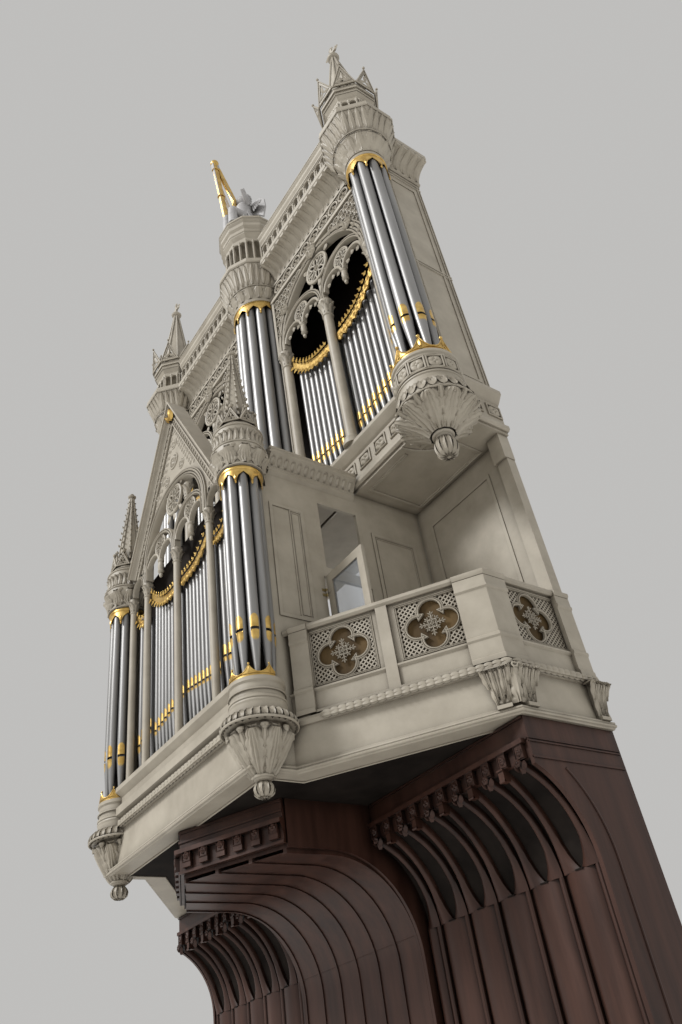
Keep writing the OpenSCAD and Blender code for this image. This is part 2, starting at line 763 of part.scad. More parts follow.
module wall_pilasters() {
  color(paint) both_sides() translate([gallery_half_w - pilaster_w, 0, floor_z + rail_h + fit]) {
    translate([0, -150, 0]) cube([pilaster_w - 20, 150, block_h - rail_h - 420]);
    translate([-20, -190, block_h - rail_h - 420]) cube([pilaster_w + 10, 190, 420 - 2 * fit]);
  }
}

module block_roof() {
  u = block_moulding_h / 410;
  moulding = [for (p = [[0, -150], [40, -110], [40, -20], [130, 110], [150, 130], [150, 240], [0, 260]])
    [p[0] * u, block_top_z + p[1] * u]];
  front_d = tower_front_d - front_ring_r - 150;
  color(paint) translate([-block_half_w, -front_d, block_top_z + fit])
    cube([2 * block_half_w, front_d - main_depth - 57, wall_t - fit]);
  color(paint) both_sides()
    run_straight([block_half_w + fit, -front_d], [block_half_w + fit, -main_depth - 60], moulding);
}

// Main case

module main_soffit() {
  color(paint_dark) difference() {
    translate([-main_half_w, -main_depth, block_top_z]) cube([2 * main_half_w, main_depth, wall_t]);
    both_sides() translate([end_tower_x, -end_tower_d, block_top_z - past])
      cylinder(h = wall_t + 2 * past, r = main_drum_r + 36);
  }
}

module main_base_band() {
  z = block_top_z + wall_t + fit;
  h = main_base_h - wall_t - fit;
  shelf = 270;
  face = [[-wall_t, z], [30, z], [55, z + 30], [55, z + 80], [10, z + 120], [0, z + 140], [0, z + h - 200],
    [30, z + h - 170], [90, z + h - 90], [110, z + h - 60], [110, z + h]];
  side_band = concat(face, [[-wall_t, z + h]]);
  front_band = concat(face, [[-shelf, z + h], [-shelf, z + h - wall_t], [-wall_t, z + h - wall_t]]);
  color(paint) difference() {
    union() {
      run_straight([-end_tower_x, -main_depth], [end_tower_x, -main_depth], front_band);
      run_straight([main_half_w, -main_depth - wall_t], [main_half_w, 0], side_band);
      run_straight([-main_half_w, 0], [-main_half_w, -main_depth - wall_t], side_band);
    }
    tower_clear(z, h);
    both_sides() translate([end_tower_x, -end_tower_d, z - past])
      cylinder(h = main_drum_z - z + past, r = main_drum_r + 31);
  }
}

// Room for the drums of the main towers
module tower_clear(z, h) {
  translate([0, -mid_tower_d, z - past]) cylinder(h = h + 2 * past, r = mid_drum_r + 12 + fit);
  both_sides() translate([end_tower_x, -end_tower_d, z - past])
    cylinder(h = h + 2 * past, r = main_drum_r + 12 + fit);
}

module main_side_walls() {
  z = main_sill_z + fit;
  h = cornice_z - z - fit;
  color(paint) both_sides() difference() {
    union() {
      translate([main_half_w - wall_t, -main_depth, z]) cube([wall_t, main_depth - back_t - fit, h]);
      side_panel(main_half_w, main_depth - 420, back_t + 120, z + 180, h - 500);
    }
    translate([end_tower_x, -end_tower_d, z - past]) cylinder(h = h + 2 * past, r = main_ring_r + 20);
    translate([end_tower_x, -end_tower_d, main_cap_z - fit]) cylinder(h = frieze_h + 200, r = cap_neck_r + fit);
  }
}

module main_back() {
  color(paint_dark) translate([-main_half_w + wall_t + 30, -back_t, block_top_z + wall_t + fit])
    cube([2 * (main_half_w - wall_t - 30), back_t, parapet_z - block_top_z - wall_t - 2 * fit]);
}

// A column with a moulded base and a leaf capital, standing on z
module column(r, z, h) {
  translate([0, 0, z]) rotate_extrude() polygon([[0, 0], [r * 1.7, 0], [r * 1.7, r * 0.8], [r * 1.45, r],
    [r * 1.5, r * 1.5], [r * 1.15, r * 1.8], [r, r * 2.1], [r, h - r * 4.6], [r * 1.2, h - r * 4.4],
    [r * 1.2, h - r * 4.1], [r, h - r * 3.9], [r * 1.12, h - r * 2.2], [r * 1.6, h - r * 0.9],
    [r * 1.5, h - r * 0.8], [r * 1.5, h], [0, h]]);
}

main_column_y = -main_depth - 30;
module main_columns() {
  color(paint) both_sides() for (x = [bay_x - bay_half_w, bay_x, bay_x + bay_half_w])
    translate([x, main_column_y, 0]) column(main_column_r, main_sill_z + fit, main_column_h - 2 * fit);
}

tracery_t = 110;
// Half ring that stands on z = 0, as an outline
module arch_ring(r_in, r_out) {
  intersection() {
    difference() {
      circle(r = r_out, $fn = 96);
      circle(r = r_in, $fn = 96);
    }
    translate([-r_out, 0]) square([2 * r_out, r_out]);
  }
}
module ring_2d(r_in, r_out) {
  difference() {
    circle(r = r_out);
    circle(r = r_in);
  }
}

// Tracery of a bay with its springing at 0 and its middle at x = 0
module bay_tracery(half_w, top, band, stilt, sub_stilt) {
  r = half_w - band / 2;
  sub_r = half_w / 2;
  bar = band * 0.36;
  rose_r = half_w * 0.25;
  rose_z = stilt + r - rose_r - 6;
  small_r = sub_r * 0.33;
  difference() {
    translate([-half_w - band / 2, 0]) square([2 * half_w + band, top]);
    translate([0, stilt]) circle(r = r, $fn = 96);
    translate([-r, -past]) square([2 * r, stilt + past]);
    for (s = [-1, 1]) translate([s * (half_w - band * 0.4), top - band * 1.2]) circle(r = band * 0.8);
    for (s = [-1, 1]) translate([s * (half_w - band * 2.4), top - band * 0.85]) circle(r = band * 0.45);
  }
  intersection() {
    union() {
      translate([0, stilt]) circle(r = r + 5, $fn = 96);
      translate([-r - 5, -3 * band]) square([2 * r + 10, stilt + 3 * band]);
    }
    union() {
      for (s = [-1, 1]) translate([s * sub_r, sub_stilt]) {
        arch_ring(sub_r - bar, sub_r);
        for (t = [-1, 1]) translate([t * (sub_r - bar / 2) - bar / 2, -sub_stilt]) square([bar, sub_stilt + past]);
        translate([0, sub_r - bar - small_r]) {
          ring_2d(small_r - bar * 0.6, small_r + 4);
          rosette_2d(small_r, 8, bar * 0.35);
        }
        for (t = [-1, 1]) translate([t * (sub_r - bar) / 2, 0])
          arch_ring((sub_r - bar) / 2 - bar * 0.7, (sub_r - bar) / 2 + 4);
        circle(r = bar * 0.7, $fn = 24);
        translate([-bar * 0.2, -band - sub_stilt]) square([bar * 0.4, band + sub_stilt]);
        translate([0, -band - sub_stilt]) circle(r = bar * 0.6, $fn = 24);
      }
      translate([0, rose_z]) {
        ring_2d(rose_r - bar * 0.7, rose_r);
        rosette_2d(rose_r, 8, bar * 0.4);
        for (a = [0, 45, 180, 135]) rotate(a) translate([rose_r - 4, -bar / 4]) square([bar * 0.8, bar / 2]);
      }
      translate([-bar, 0]) square([2 * bar, rose_z - rose_r + 6]);
    }
  }
}

module main_tracery() {
  low = spring_z + fit;
  inner_x = mid_ring_r + 32;
  outer_x = end_tower_x - main_ring_r - 35;
  color(paint) both_sides() facing_plate(main_column_y - tracery_t / 2, tracery_t) intersection() {
    translate([inner_x, low - 600]) square([outer_x - inner_x, frieze_z - fit - low + 600]);
    union() {
      translate([bay_x, low]) bay_tracery(bay_half_w - 20, frieze_z - low - fit, arch_w, arch_stilt, arch_stilt);
      translate([inner_x, low]) square([bay_x - bay_half_w - arch_w / 2 + 21 - inner_x, frieze_z - low]);
    }
  }
  color(paint) both_sides() translate([inner_x, main_column_y - 10, main_sill_z + fit])
    cube([bay_x - bay_half_w - 1.7 * main_column_r - fit - inner_x, 20, main_column_h - 2 * fit]);
}

module pierced_band(len, h, pitch, r) {
  n = floor((len - pitch * 0.3) / pitch);
  difference() {
    square([len, h]);
    for (i = [0 : n - 1]) translate([(i + 0.5) * len / n, h / 2]) {
      for (a = [45 : 90 : 315]) rotate(a) translate([r * 0.55, 0]) circle(r = r * 0.44, $fn = 24);
      circle(r = r * 0.3, $fn = 24);
    }
    for (i = [1 : n - 1]) translate([i * len / n, h / 2]) for (s = [-1, 1]) translate([0, s * h * 0.3])
      circle(r = r * 0.2, $fn = 24);
  }
}

module main_frieze() {
  x0 = mid_neck_r + 20;
  len = end_tower_x - 506 - x0;
  color(paint) both_sides() facing_plate(-main_depth - 60, 60) translate([x0, frieze_z])
    pierced_band(len, frieze_h - fit, 390, 190);
}

module main_cornice() {
  z = cornice_z;
  o = cornice_out;
  h = cornice_h;
  section = concat([[-wall_t, z], [15, z], [40, z + 20], [40, z + 50], [30, z + 70]],
    arc([o, z + 80], o - 30, 180, 90, 8),
    [[o, z + h - 150], [o + 10, z + h - 140], [o + 10, z + h - 40], [o - 30, z + h - fit], [-wall_t, z + h - fit]]);
  color(paint) difference() {
    union() {
      run_straight([-end_tower_x, -main_depth], [end_tower_x, -main_depth], section);
      run_straight([main_half_w, -main_depth - wall_t], [main_half_w, 0], section);
      run_straight([-main_half_w, 0], [-main_half_w, -main_depth - wall_t], section);
    }
    cap_clear(fit);
  }
}

module main_parapet() {
  slot = 110;
  x0 = mid_lantern_r + 5;
  len = end_tower_x - lantern_rim_r * cos(22.5) - fit - x0;
  n = floor(len / 190);
  y = -main_depth - cornice_out * 0.55;
  z = parapet_z;
  color(paint) both_sides() difference() {
    union() {
      facing_plate(y, 70) difference() {
        translate([x0, z]) square([len, parapet_h]);
        for (i = [0 : n - 1]) translate([x0 + (i + 0.5) * len / n, z + 130]) {
          translate([-slot / 2, 0]) square([slot, 380]);
          translate([0, 380]) circle(r = slot / 2, $fn = 24);
        }
      }
      run_straight([x0, y], [x0 + len, y], [[-past, z], [20, z], [20, z + 60], [-past, z + 90]]);
      run_straight([x0, y], [x0 + len, y], [[-past, z + 640], [25, z + 660], [25, z + 700], [55, z + 760],
        [55, z + 830], [85, z + 880], [85, z + 930], [60, z + parapet_h], [-past, z + parapet_h]]);
    }
    cap_clear(fit);
  }
}

module main_roof() {
  color(paint_dark) difference() {
    translate([-main_half_w + wall_t, -main_depth, parapet_z]) cube([2 * (main_half_w - wall_t), main_depth, wall_t]);
    both_sides() translate([end_tower_x, -end_tower_d, parapet_z - past]) rotate(22.5)
      cylinder(h = wall_t + 2 * past, r = lantern_r + 1, $fn = 8);
    translate([0, -mid_tower_d, parapet_z - past]) rotate(15)
      cylinder(h = wall_t + 2 * past, r = mid_rim_r + 1, $fn = 12);
  }
}

// Front case

front_flat_x = front_tower_x - front_ring_r - 102;
front_back_y = -wall_start_d + 60;
module front_sill() {
  z = floor_z + fit;
  h = front_sill_h - 2 * fit;
  shelf = gallery_depth + front_back_y - fit;
  color(paint) difference() {
    run_straight([-front_tower_x, front_y], [front_tower_x, front_y],
      [[-200, z], [0, z], [10, z + 60], [60, z + 90], [60, z + 190], [20, z + 220], [0, z + 240], [0, z + h - 130],
        [70, z + h - 60], [70, z + h], [-shelf, z + h], [-shelf, z + h - 40], [-200, z + h - 40]]);
    front_towers() translate([0, 0, z - past]) cylinder(h = h + 2 * past, r = front_drum_r + 12 + fit);
  }
}

module front_columns() {
  color(paint) for (x = [-front_edge_x, -front_bay_w, 0, front_bay_w, front_edge_x])
    translate([x, front_axis_y, 0]) column(front_column_r, front_sill_z + fit, front_column_h - 2 * fit);
}

rake_w = 120;
rake_angle = atan2(gable_h - gable_foot_h, gable_half_w);
// Outline of the boards under the gable, from the height low over the springing
module gable_2d(low) {
  foot_x = gable_half_w - rake_w / sin(rake_angle) - fit;
  polygon([[-front_flat_x, low], [front_flat_x, low], [front_flat_x, gable_foot_h - fit], [foot_x, gable_foot_h - fit],
    [0, gable_h - rake_w / cos(rake_angle) - 2 * fit], [-foot_x, gable_foot_h - fit], [-front_flat_x, gable_foot_h - fit]]);
}

front_tracery_t = 80;
module front_tracery() {
  half = front_bay_w;
  side_x = half + 60;
  color(paint) facing_plate(front_axis_y - front_tracery_t / 2, front_tracery_t) translate([0, front_spring_z + fit])
    difference() {
      intersection() {
        gable_2d(-300);
        union() {
          bay_tracery(half, gable_h, 120, 250, 110);
          for (s = [-1, 1]) difference() {
            translate([s > 0 ? side_x - past : -front_flat_x, 0]) square([front_flat_x - side_x + past, gable_h]);
            translate([s * (side_x + front_flat_x - 40) / 2, 40]) circle(r = (front_flat_x - side_x) / 2 - 50);
          }
        }
      }
      translate([0, gable_h * 0.62]) quatrefoil(-40);
      translate([0, gable_h * 0.62]) circle(r = 60);
      for (s = [-1, 1]) translate([s * 600, 1350]) circle(r = 75);
      for (s = [-1, 1]) translate([s * 250, 1420]) circle(r = 60);
    }
}

module front_gable() {
  foot_x = gable_half_w - rake_w / sin(rake_angle);
  color(paint) facing_plate(front_axis_y - gable_t / 2, gable_t) translate([0, front_spring_z])
    polygon([[-gable_half_w, gable_foot_h], [0, gable_h], [gable_half_w, gable_foot_h], [foot_x, gable_foot_h],
      [0, gable_h - rake_w / cos(rake_angle)], [-foot_x, gable_foot_h]]);
}

module front_back() {
  half = block_half_w - wall_t - 1;
  color(paint_dark) facing_plate(front_back_y, 30) difference() {
    translate([-half, floor_z + fit]) square([2 * half, block_h - 2 * fit]);
    both_sides() translate([front_tower_x - 250, floor_z]) square([300, front_pipes_z + 150 - floor_z]);
    both_sides() translate([front_tower_x - 310, front_cap_z - fit]) square([400, 2 * front_cap_h]);
  }
}

// Pipes

// A flue pipe on its foot, with its mouth towards -Y
module pipe(r, foot_h, h) {
  tip_r = r * 0.32;
  difference() {
    union() {
      cylinder(h = foot_h, r1 = tip_r, r2 = r);
      translate([0, 0, foot_h]) cylinder(h = h - foot_h, r = r);
    }
    translate([-r * 0.7, -r - past, foot_h + r * 0.1]) cube([r * 1.4, r * 0.5 + past, r * 0.55]);
  }
}

// A row of pipes between two places, whose feet run from the first height to the second
module pipe_row(x_a, x_b, y, z, n, feet, h) {
  pitch = (x_b - x_a) / n;
  for (i = [0 : n - 1]) translate([x_a + (i + 0.5) * pitch, y, z])
    pipe(abs(pitch) / 2 - pipe_gap / 2, feet[0] + (feet[1] - feet[0]) * i / max(1, n - 1), h);
}

// Heights of the feet of the first and last pipe of a row
main_feet = [620, 480];
front_feet = [520, 660];
narrow_feet = [520, 620];
flat_pipe_y = main_column_y + 190;
front_pipe_y = front_axis_y + 130;
module flat_pipes() {
  low = main_sill_z + fit;
  h = main_column_h + 500;
  color(tin) both_sides() {
    pipe_row(bay_x - bay_half_w + main_column_r, bay_x - 30, flat_pipe_y, low, main_bay_pipes, main_feet, h);
    pipe_row(bay_x + bay_half_w - main_column_r, bay_x + 30, flat_pipe_y, low, main_bay_pipes, main_feet, h);
    pipe_row(front_bay_w - 30, 25, front_pipe_y, front_sill_z + fit, front_bay_pipes, front_feet,
      front_column_h + 200);
    pipe_row(front_edge_x - 10, front_bay_w + 20, front_pipe_y, front_sill_z + fit, narrow_bay_pipes, narrow_feet,
      front_column_h - 100);
  }
}

// A hanging band between two columns, from height a to height b with a belly
module swag_2d(w, a, b, deep) {
  steps = 16;
  sag = 0.35 * abs(a - b) + 40;
  top = [for (i = [0 : steps]) let (f = i / steps) [f * w, a + (b - a) * f - sag * sin(180 * f) * (1 - 0.4 * f)]];
  low = [for (i = [steps : -1 : 0]) top[i] - [0, deep * (1 + 0.45 * (i % 2))]];
  polygon(concat(top, low));
}

module gold_swags() {
  r = main_column_r;
  q = front_column_r;
  c = sqrt(pow(1.2 * r, 2) - 40 * 40) + fit;
  c_mid = sqrt(r * r - 40 * 40) + fit;
  d = sqrt(pow(1.2 * q, 2) - 30 * 30) + fit;
  d_mid = sqrt(q * q - 30 * 30) + fit;
  w = bay_half_w - c - c_mid;
  wide = front_bay_w - d - d_mid;
  narrow = front_edge_x - front_bay_w - 2 * d_mid;
  color(gold) both_sides() {
    facing_plate(main_column_y + 40, 24) {
      translate([bay_x - bay_half_w + c, 0]) swag_2d(w, spring_z - 262, spring_z - 860, 150);
      translate([bay_x + bay_half_w - c, 0]) mirror([1, 0]) swag_2d(w, spring_z - 262, spring_z - 860, 150);
    }
    facing_plate(front_axis_y + 30, 20) {
      translate([front_bay_w - d, 0]) mirror([1, 0]) swag_2d(wide, front_spring_z - 170, front_spring_z - 520, 100);
      translate([front_edge_x - d_mid, 0]) mirror([1, 0])
        swag_2d(narrow, front_spring_z - 250, front_spring_z - 480, 90);
    }
  }
}

// Towers

// Puts its children on the axis of each front tower
module front_towers() {
  both_sides() translate([front_tower_x, -tower_front_d, 0]) children();
}

main_drum_z = main_sill_z - 560;
main_drum_h = 430;
main_pipes_z = main_drum_z + main_drum_h;
mid_drum_z = block_top_z + wall_t + fit;
mid_drum_r = mid_ring_r + 100;
main_cap_z = frieze_z - 80;
cap_neck_r = 490;
cap_rim_r = 700;
mid_cap_z = main_cap_z + 130;
mid_neck_r = mid_ring_r + 100;
mid_rim_r = 757;
mid_lantern_z = parapet_z + 80;
mid_lantern_h = 980;
mid_lantern_r = 580;
front_drum_z = floor_z + 90;
front_drum_h = 240;
front_pipes_z = front_drum_z + front_drum_h;
front_cap_z = front_spring_z - 80;
front_cap_h = 350;

// Sections of the leaf corbels with their pendants, grown by g, whose tops are at 0
function main_corbel() = [[0, 0], [450, 0], [450, -60], [480, -90], [480, -130], [465, -160], [500, -230], [520, -290],
  [520, -330], [490, -365], [430, -405], [330, -480], [220, -560], [130, -640], [100, -670], [125, -690], [130, -712],
  [100, -740], [70, -760], [105, -800], [130, -870], [135, -920], [120, -980], [80, -1030], [0, -1050]];
function front_corbel(g) = [[0, 0], [300 + g, 0], [306 + g, -20], [300 + g, -40], [295 + g, -110], [330 + g, -130],
  [385 + g, -180], [390 + g, -210], [385 + g, -245 - g], [330 + g, -258 - g], [292 + g, -262 - g], [300 + g, -300],
  [285 + g, -340], [240 + g, -440], [180 + g, -560], [120 + g, -660], [85 + g, -700], [100 + g, -715],
  [105 + g, -735], [85 + g, -755], [60 + g, -770], [85 + g, -800], [98 + g, -840], [90 + g, -880], [60 + g, -910],
  [0, -920 - g]];

module tower_corbels() {
  color(paint) both_sides() translate([end_tower_x, -end_tower_d, main_drum_z - fit])
    rotate_extrude() polygon(main_corbel());
  color(paint) front_towers() translate([0, 0, front_drum_z - fit]) rotate_extrude() polygon(front_corbel(0));
}

module drum(r, h) {
  rotate_extrude() polygon([[0, 0], [r, 0], [r + 12, 10], [r + 12, 30], [r - 8, 50], [r - 8, h - 60], [r + 10, h - 40],
    [r + 10, h], [0, h]]);
}
module tower_drums() {
  color(paint) both_sides() translate([end_tower_x, -end_tower_d, main_drum_z]) drum(main_drum_r, main_drum_h - fit);
  color(paint) translate([0, -mid_tower_d, mid_drum_z]) drum(mid_drum_r, main_pipes_z - mid_drum_z - fit);
  color(paint) front_towers() translate([0, 0, front_drum_z]) drum(front_drum_r, front_drum_h - fit);
}

mid_core_r = mid_ring_r - 200;
module tower_cores() {
  h = main_cap_z - main_pipes_z - fit;
  color(paint_dark) {
    both_sides() translate([end_tower_x, -end_tower_d, main_pipes_z]) cylinder(h = h, r = main_core_r);
    translate([0, -mid_tower_d, main_pipes_z]) cylinder(h = mid_cap_z - main_pipes_z - fit, r = mid_core_r);
    front_towers() translate([0, 0, front_pipes_z]) cylinder(h = front_cap_z - front_pipes_z - fit, r = front_core_r);
  }
}

// A ring of points r out and h high
module crown(r, h, points) {
  half = r * sin(180 / points);
  difference() {
    cylinder(h = h, r = r);
    translate([0, 0, -past]) cylinder(h = h + 2 * past, r = r - 12);
    for (i = [0 : points - 1]) rotate([0, 0, (i + 0.5) * 360 / points]) rotate([90, 0, 0]) linear_extrude(r + 20)
      polygon([[0, h * 0.35], [half * 0.93, h + past], [-half * 0.93, h + past]]);
  }
}
module tower_crowns() {
  color(gold) {
    both_sides() translate([end_tower_x, -end_tower_d, main_pipes_z]) difference() {
      crown(main_drum_r - 30, 280, 8);
      translate([-2 * main_drum_r, 250, -past]) cube([4 * main_drum_r, main_drum_r, 400]);
      translate([bay_x + bay_half_w - end_tower_x, main_column_y + end_tower_d, -past])
        cylinder(h = 400, r = 1.7 * main_column_r + 2);
    }
    translate([0, -mid_tower_d, main_pipes_z]) difference() {
      crown(mid_drum_r - 30, 280, 12);
      translate([-2 * mid_drum_r, -40, -past]) cube([4 * mid_drum_r, 2 * mid_drum_r, 400]);
    }
    front_towers() translate([0, 0, front_pipes_z]) difference() {
      crown(front_drum_r - 8, 140, 8);
      translate([-front_drum_r, 80, -past]) cube([front_drum_r + 27, front_drum_r, 200]);
      translate([front_edge_x - front_tower_x, -30, -past]) cylinder(h = 200, r = 1.7 * front_column_r + 2);
    }
  }
}

// Pipes of radius r round a core, just inside the ring's outer radius
module pipe_ring(r, ring_r, foot_h, h, from, to, n) {
  for (i = [0 : n - 1]) rotate([0, 0, from + (to - from) * i / (n - 1)])
    translate([ring_r - r - 1, 0, 0]) rotate([0, 0, 90]) pipe(r, foot_h, h);
}
module tower_pipes() {
  h_main = main_cap_z - main_pipes_z - 2 * fit;
  h_front = front_cap_z - front_pipes_z - 2 * fit;
  main_r = (main_ring_r - main_core_r) / 2 - 2;
  n = tower_pipe_count;
  color(tin) {
    both_sides() {
      translate([end_tower_x, -end_tower_d, main_pipes_z]) pipe_ring(main_r, main_ring_r, 850, h_main, 75, -150, n);
      translate([front_tower_x, -tower_front_d, front_pipes_z])
        pipe_ring((front_ring_r - front_core_r) / 2 - 2.5, front_ring_r, 560, h_front, 60, -150, n);
    }
    translate([0, -mid_tower_d, main_pipes_z])
      pipe_ring((mid_ring_r - mid_core_r) / 2 - 2, mid_ring_r, 850, mid_cap_z - main_pipes_z - 2 * fit, 0, -180, n + 1);
  }
}

// A gold ring above the pipes, with an arch over each of n places of a full turn
module valance(r, h, n) {
  half = r * sin(180 / n) * 0.86;
  difference() {
    cylinder(h = h, r = r);
    translate([0, 0, -past]) cylinder(h = h + 2 * past, r = r - 9);
    for (i = [0 : n - 1]) rotate([0, 0, (i + 0.5) * 360 / n]) rotate([90, 0, 0]) linear_extrude(r + 20) union() {
      translate([-half, -past]) square([2 * half, h * 0.12 + past]);
      polygon([[-half, h * 0.1], [half, h * 0.1], [half * 0.75, h * 0.38], [0, h * 0.62], [-half * 0.75, h * 0.38]]);
    }
  }
}
module tower_valances() {
  h = 330;
  low = 240;
  color(gold) {
    both_sides() translate([end_tower_x, -end_tower_d, main_cap_z - h]) valance(main_ring_r + 15, h - fit, 8);
    translate([0, -mid_tower_d, mid_cap_z - h]) valance(mid_ring_r + 15, h - fit, 12);
    front_towers() translate([0, 0, front_cap_z - low]) difference() {
      valance(front_ring_r + 14, low - fit, 8);
      translate([-front_drum_r, 0, -past]) cube([front_drum_r + 27, front_drum_r, low + 2]);
      translate([front_edge_x - front_tower_x, -30, -past]) cylinder(h = low + 2, r = 1.6 * front_column_r + 2);
    }
  }
}

// The many-sided part of a main cap, over its leaf neck
module cap_top(g, neck_r, rim_r, sides, top_z) {
  low = cornice_z - 10;
  rotate(180 / sides) {
    translate([0, 0, low - g]) cylinder(h = top_z - 150 - low + g, r1 = neck_r + 10 + g, r2 = rim_r - 10 + g, $fn = sides);
    translate([0, 0, top_z - 150]) cylinder(h = 150 - fit + 2 * g, r = rim_r + g, $fn = sides);
  }
}
// Room for the caps of the main towers
module cap_clear(g) {
  both_sides() translate([end_tower_x, -end_tower_d, 0]) cap_top(g, cap_neck_r, cap_rim_r, 8, parapet_z);
  translate([0, -mid_tower_d, 0]) cap_top(g, mid_neck_r, mid_rim_r, 12, mid_lantern_z);
}
// The round leaf neck of a main cap between z and the cornice
module cap_neck(r, z, neck_r) {
  h = cornice_z - 10 - z;
  translate([0, 0, z]) rotate_extrude() polygon([[0, 0], [r + 20, 0], [r + 30, 30], [r + 10, 80], [r + 10, 110],
    [(r + neck_r) / 2, h / 2], [neck_r - 20, h * 0.77], [neck_r, h * 0.83], [neck_r, h], [0, h]]);
}
module tower_caps() {
  q = front_ring_r + 30;
  color(paint) both_sides() translate([end_tower_x, -end_tower_d, 0]) union() {
    cap_neck(main_ring_r, main_cap_z, cap_neck_r);
    cap_top(0, cap_neck_r, cap_rim_r, 8, parapet_z);
  }
  color(paint) translate([0, -mid_tower_d, 0]) union() {
    cap_neck(mid_ring_r, mid_cap_z, mid_neck_r);
    cap_top(0, mid_neck_r, mid_rim_r, 12, mid_lantern_z);
  }
  color(paint) front_towers() translate([0, 0, front_cap_z]) difference() {
    rotate_extrude() polygon([[0, 0], [q, 0], [q + 10, 30], [q - 5, 70], [q + 20, 170], [q + 60, 240], [q + 70, 265],
      [q + 70, 350], [q + 30, 400], [q + 15, 560], [q + 40, 600], [q + 40, 680], [q - 10, 720], [q - 30, 800],
      [0, 800]]);
    translate([front_edge_x - front_tower_x, -30, -past])
      cylinder(h = front_spring_z - front_cap_z + past + fit, r = 1.6 * front_column_r + fit);
  }
}

lantern_z = parapet_z;
lantern_h = 700;
lantern_r = 450;
lantern_rim_r = 540;
lantern_top_h = 310;
// A many-sided lantern with two arched openings in each face, hollow inside
module lantern(r, h, sides, apart, w, sill, head) {
  rotate(180 / sides) difference() {
    cylinder(h = h, r = r, $fn = sides);
    translate([0, 0, 100]) cylinder(h = h - 200, r = r - 80, $fn = sides);
    for (i = [0 : sides / 2 - 1]) rotate([0, 0, (i + 0.5) * 360 / sides]) translate([-r, 0, 0]) rotate([90, 0, 90])
      linear_extrude(2 * r) for (s = [-1, 1]) translate([s * apart, 0]) union() {
        translate([-w / 2, sill]) square([w, h - head - sill]);
        translate([0, h - head]) circle(r = w / 2, $fn = 24);
      }
  }
}
// Rings of a cornice, each as [height of its foot, height, lower radius, upper radius]
module ring_stack(rings, sides) {
  rotate(180 / sides) for (q = rings) translate([0, 0, q[0]]) cylinder(h = q[1], r1 = q[2], r2 = q[3], $fn = sides);
}
mid_rings = [[0, 90, mid_lantern_r, 640], [90, 170, 640, 640], [260, 60, 640, 680], [320, 80, 680, 680],
  [400, 60, 660, 660], [460, 60, 660, 700], [520, 110, 700, 700]];
mid_top_z = mid_lantern_z + mid_lantern_h + 630;
module tower_lanterns() {
  color(paint) both_sides() translate([end_tower_x, -end_tower_d, lantern_z]) union() {
    lantern(lantern_r, lantern_h, 8, 72, 104, 130, 190);
    translate([0, 0, lantern_h]) ring_stack([[0, 90, lantern_r, lantern_rim_r - 30],
      [90, 110, lantern_rim_r - 30, lantern_rim_r - 30],
      [200, lantern_top_h - 200, lantern_rim_r, lantern_rim_r]], 8);
  }
  color(paint) translate([0, -mid_tower_d, mid_lantern_z]) union() {
    lantern(mid_lantern_r, mid_lantern_h, 12, 74, 92, 150, 200);
    translate([0, 0, mid_lantern_h]) ring_stack(mid_rings, 12);
  }
}

// A pointed roof on a ring of small gables
module spire(r, h, gable_w, gable_top) {
  base = 40;
  cylinder(h = base, r = r * 1.2, $fn = 8);
  translate([0, 0, base - past]) cylinder(h = h - base, r1 = r, r2 = r * 0.12, $fn = 8);
  for (a = [0 : 45 : 315]) rotate(a + 22.5) translate([r * 1.08, 0, base - past]) rotate([90, 0, 90])
    linear_extrude(r * 0.07, center = true) polygon([[-gable_w / 2, 0], [gable_w / 2, 0], [0, gable_top]]);
  translate([0, 0, h]) sphere(r = r * 0.2);
}
spire_z = lantern_z + lantern_h + lantern_top_h;
module tower_spires() {
  color(paint) both_sides() translate([end_tower_x, -end_tower_d, spire_z + fit]) rotate(22.5)
    spire(380, main_spire_h, 300, 400);
  color(paint) both_sides() translate([end_tower_x, -end_tower_d, spire_z + fit + main_spire_h]) {
    translate([-28, -22, 0]) cube([56, 44, 430]);
    translate([-130, -22, 230]) cube([260, 44, 64]);
  }
  color(paint) front_towers() translate([0, 0, front_cap_z + 800 + fit]) rotate(22.5) spire(205, front_spire_h, 150, 260);
}

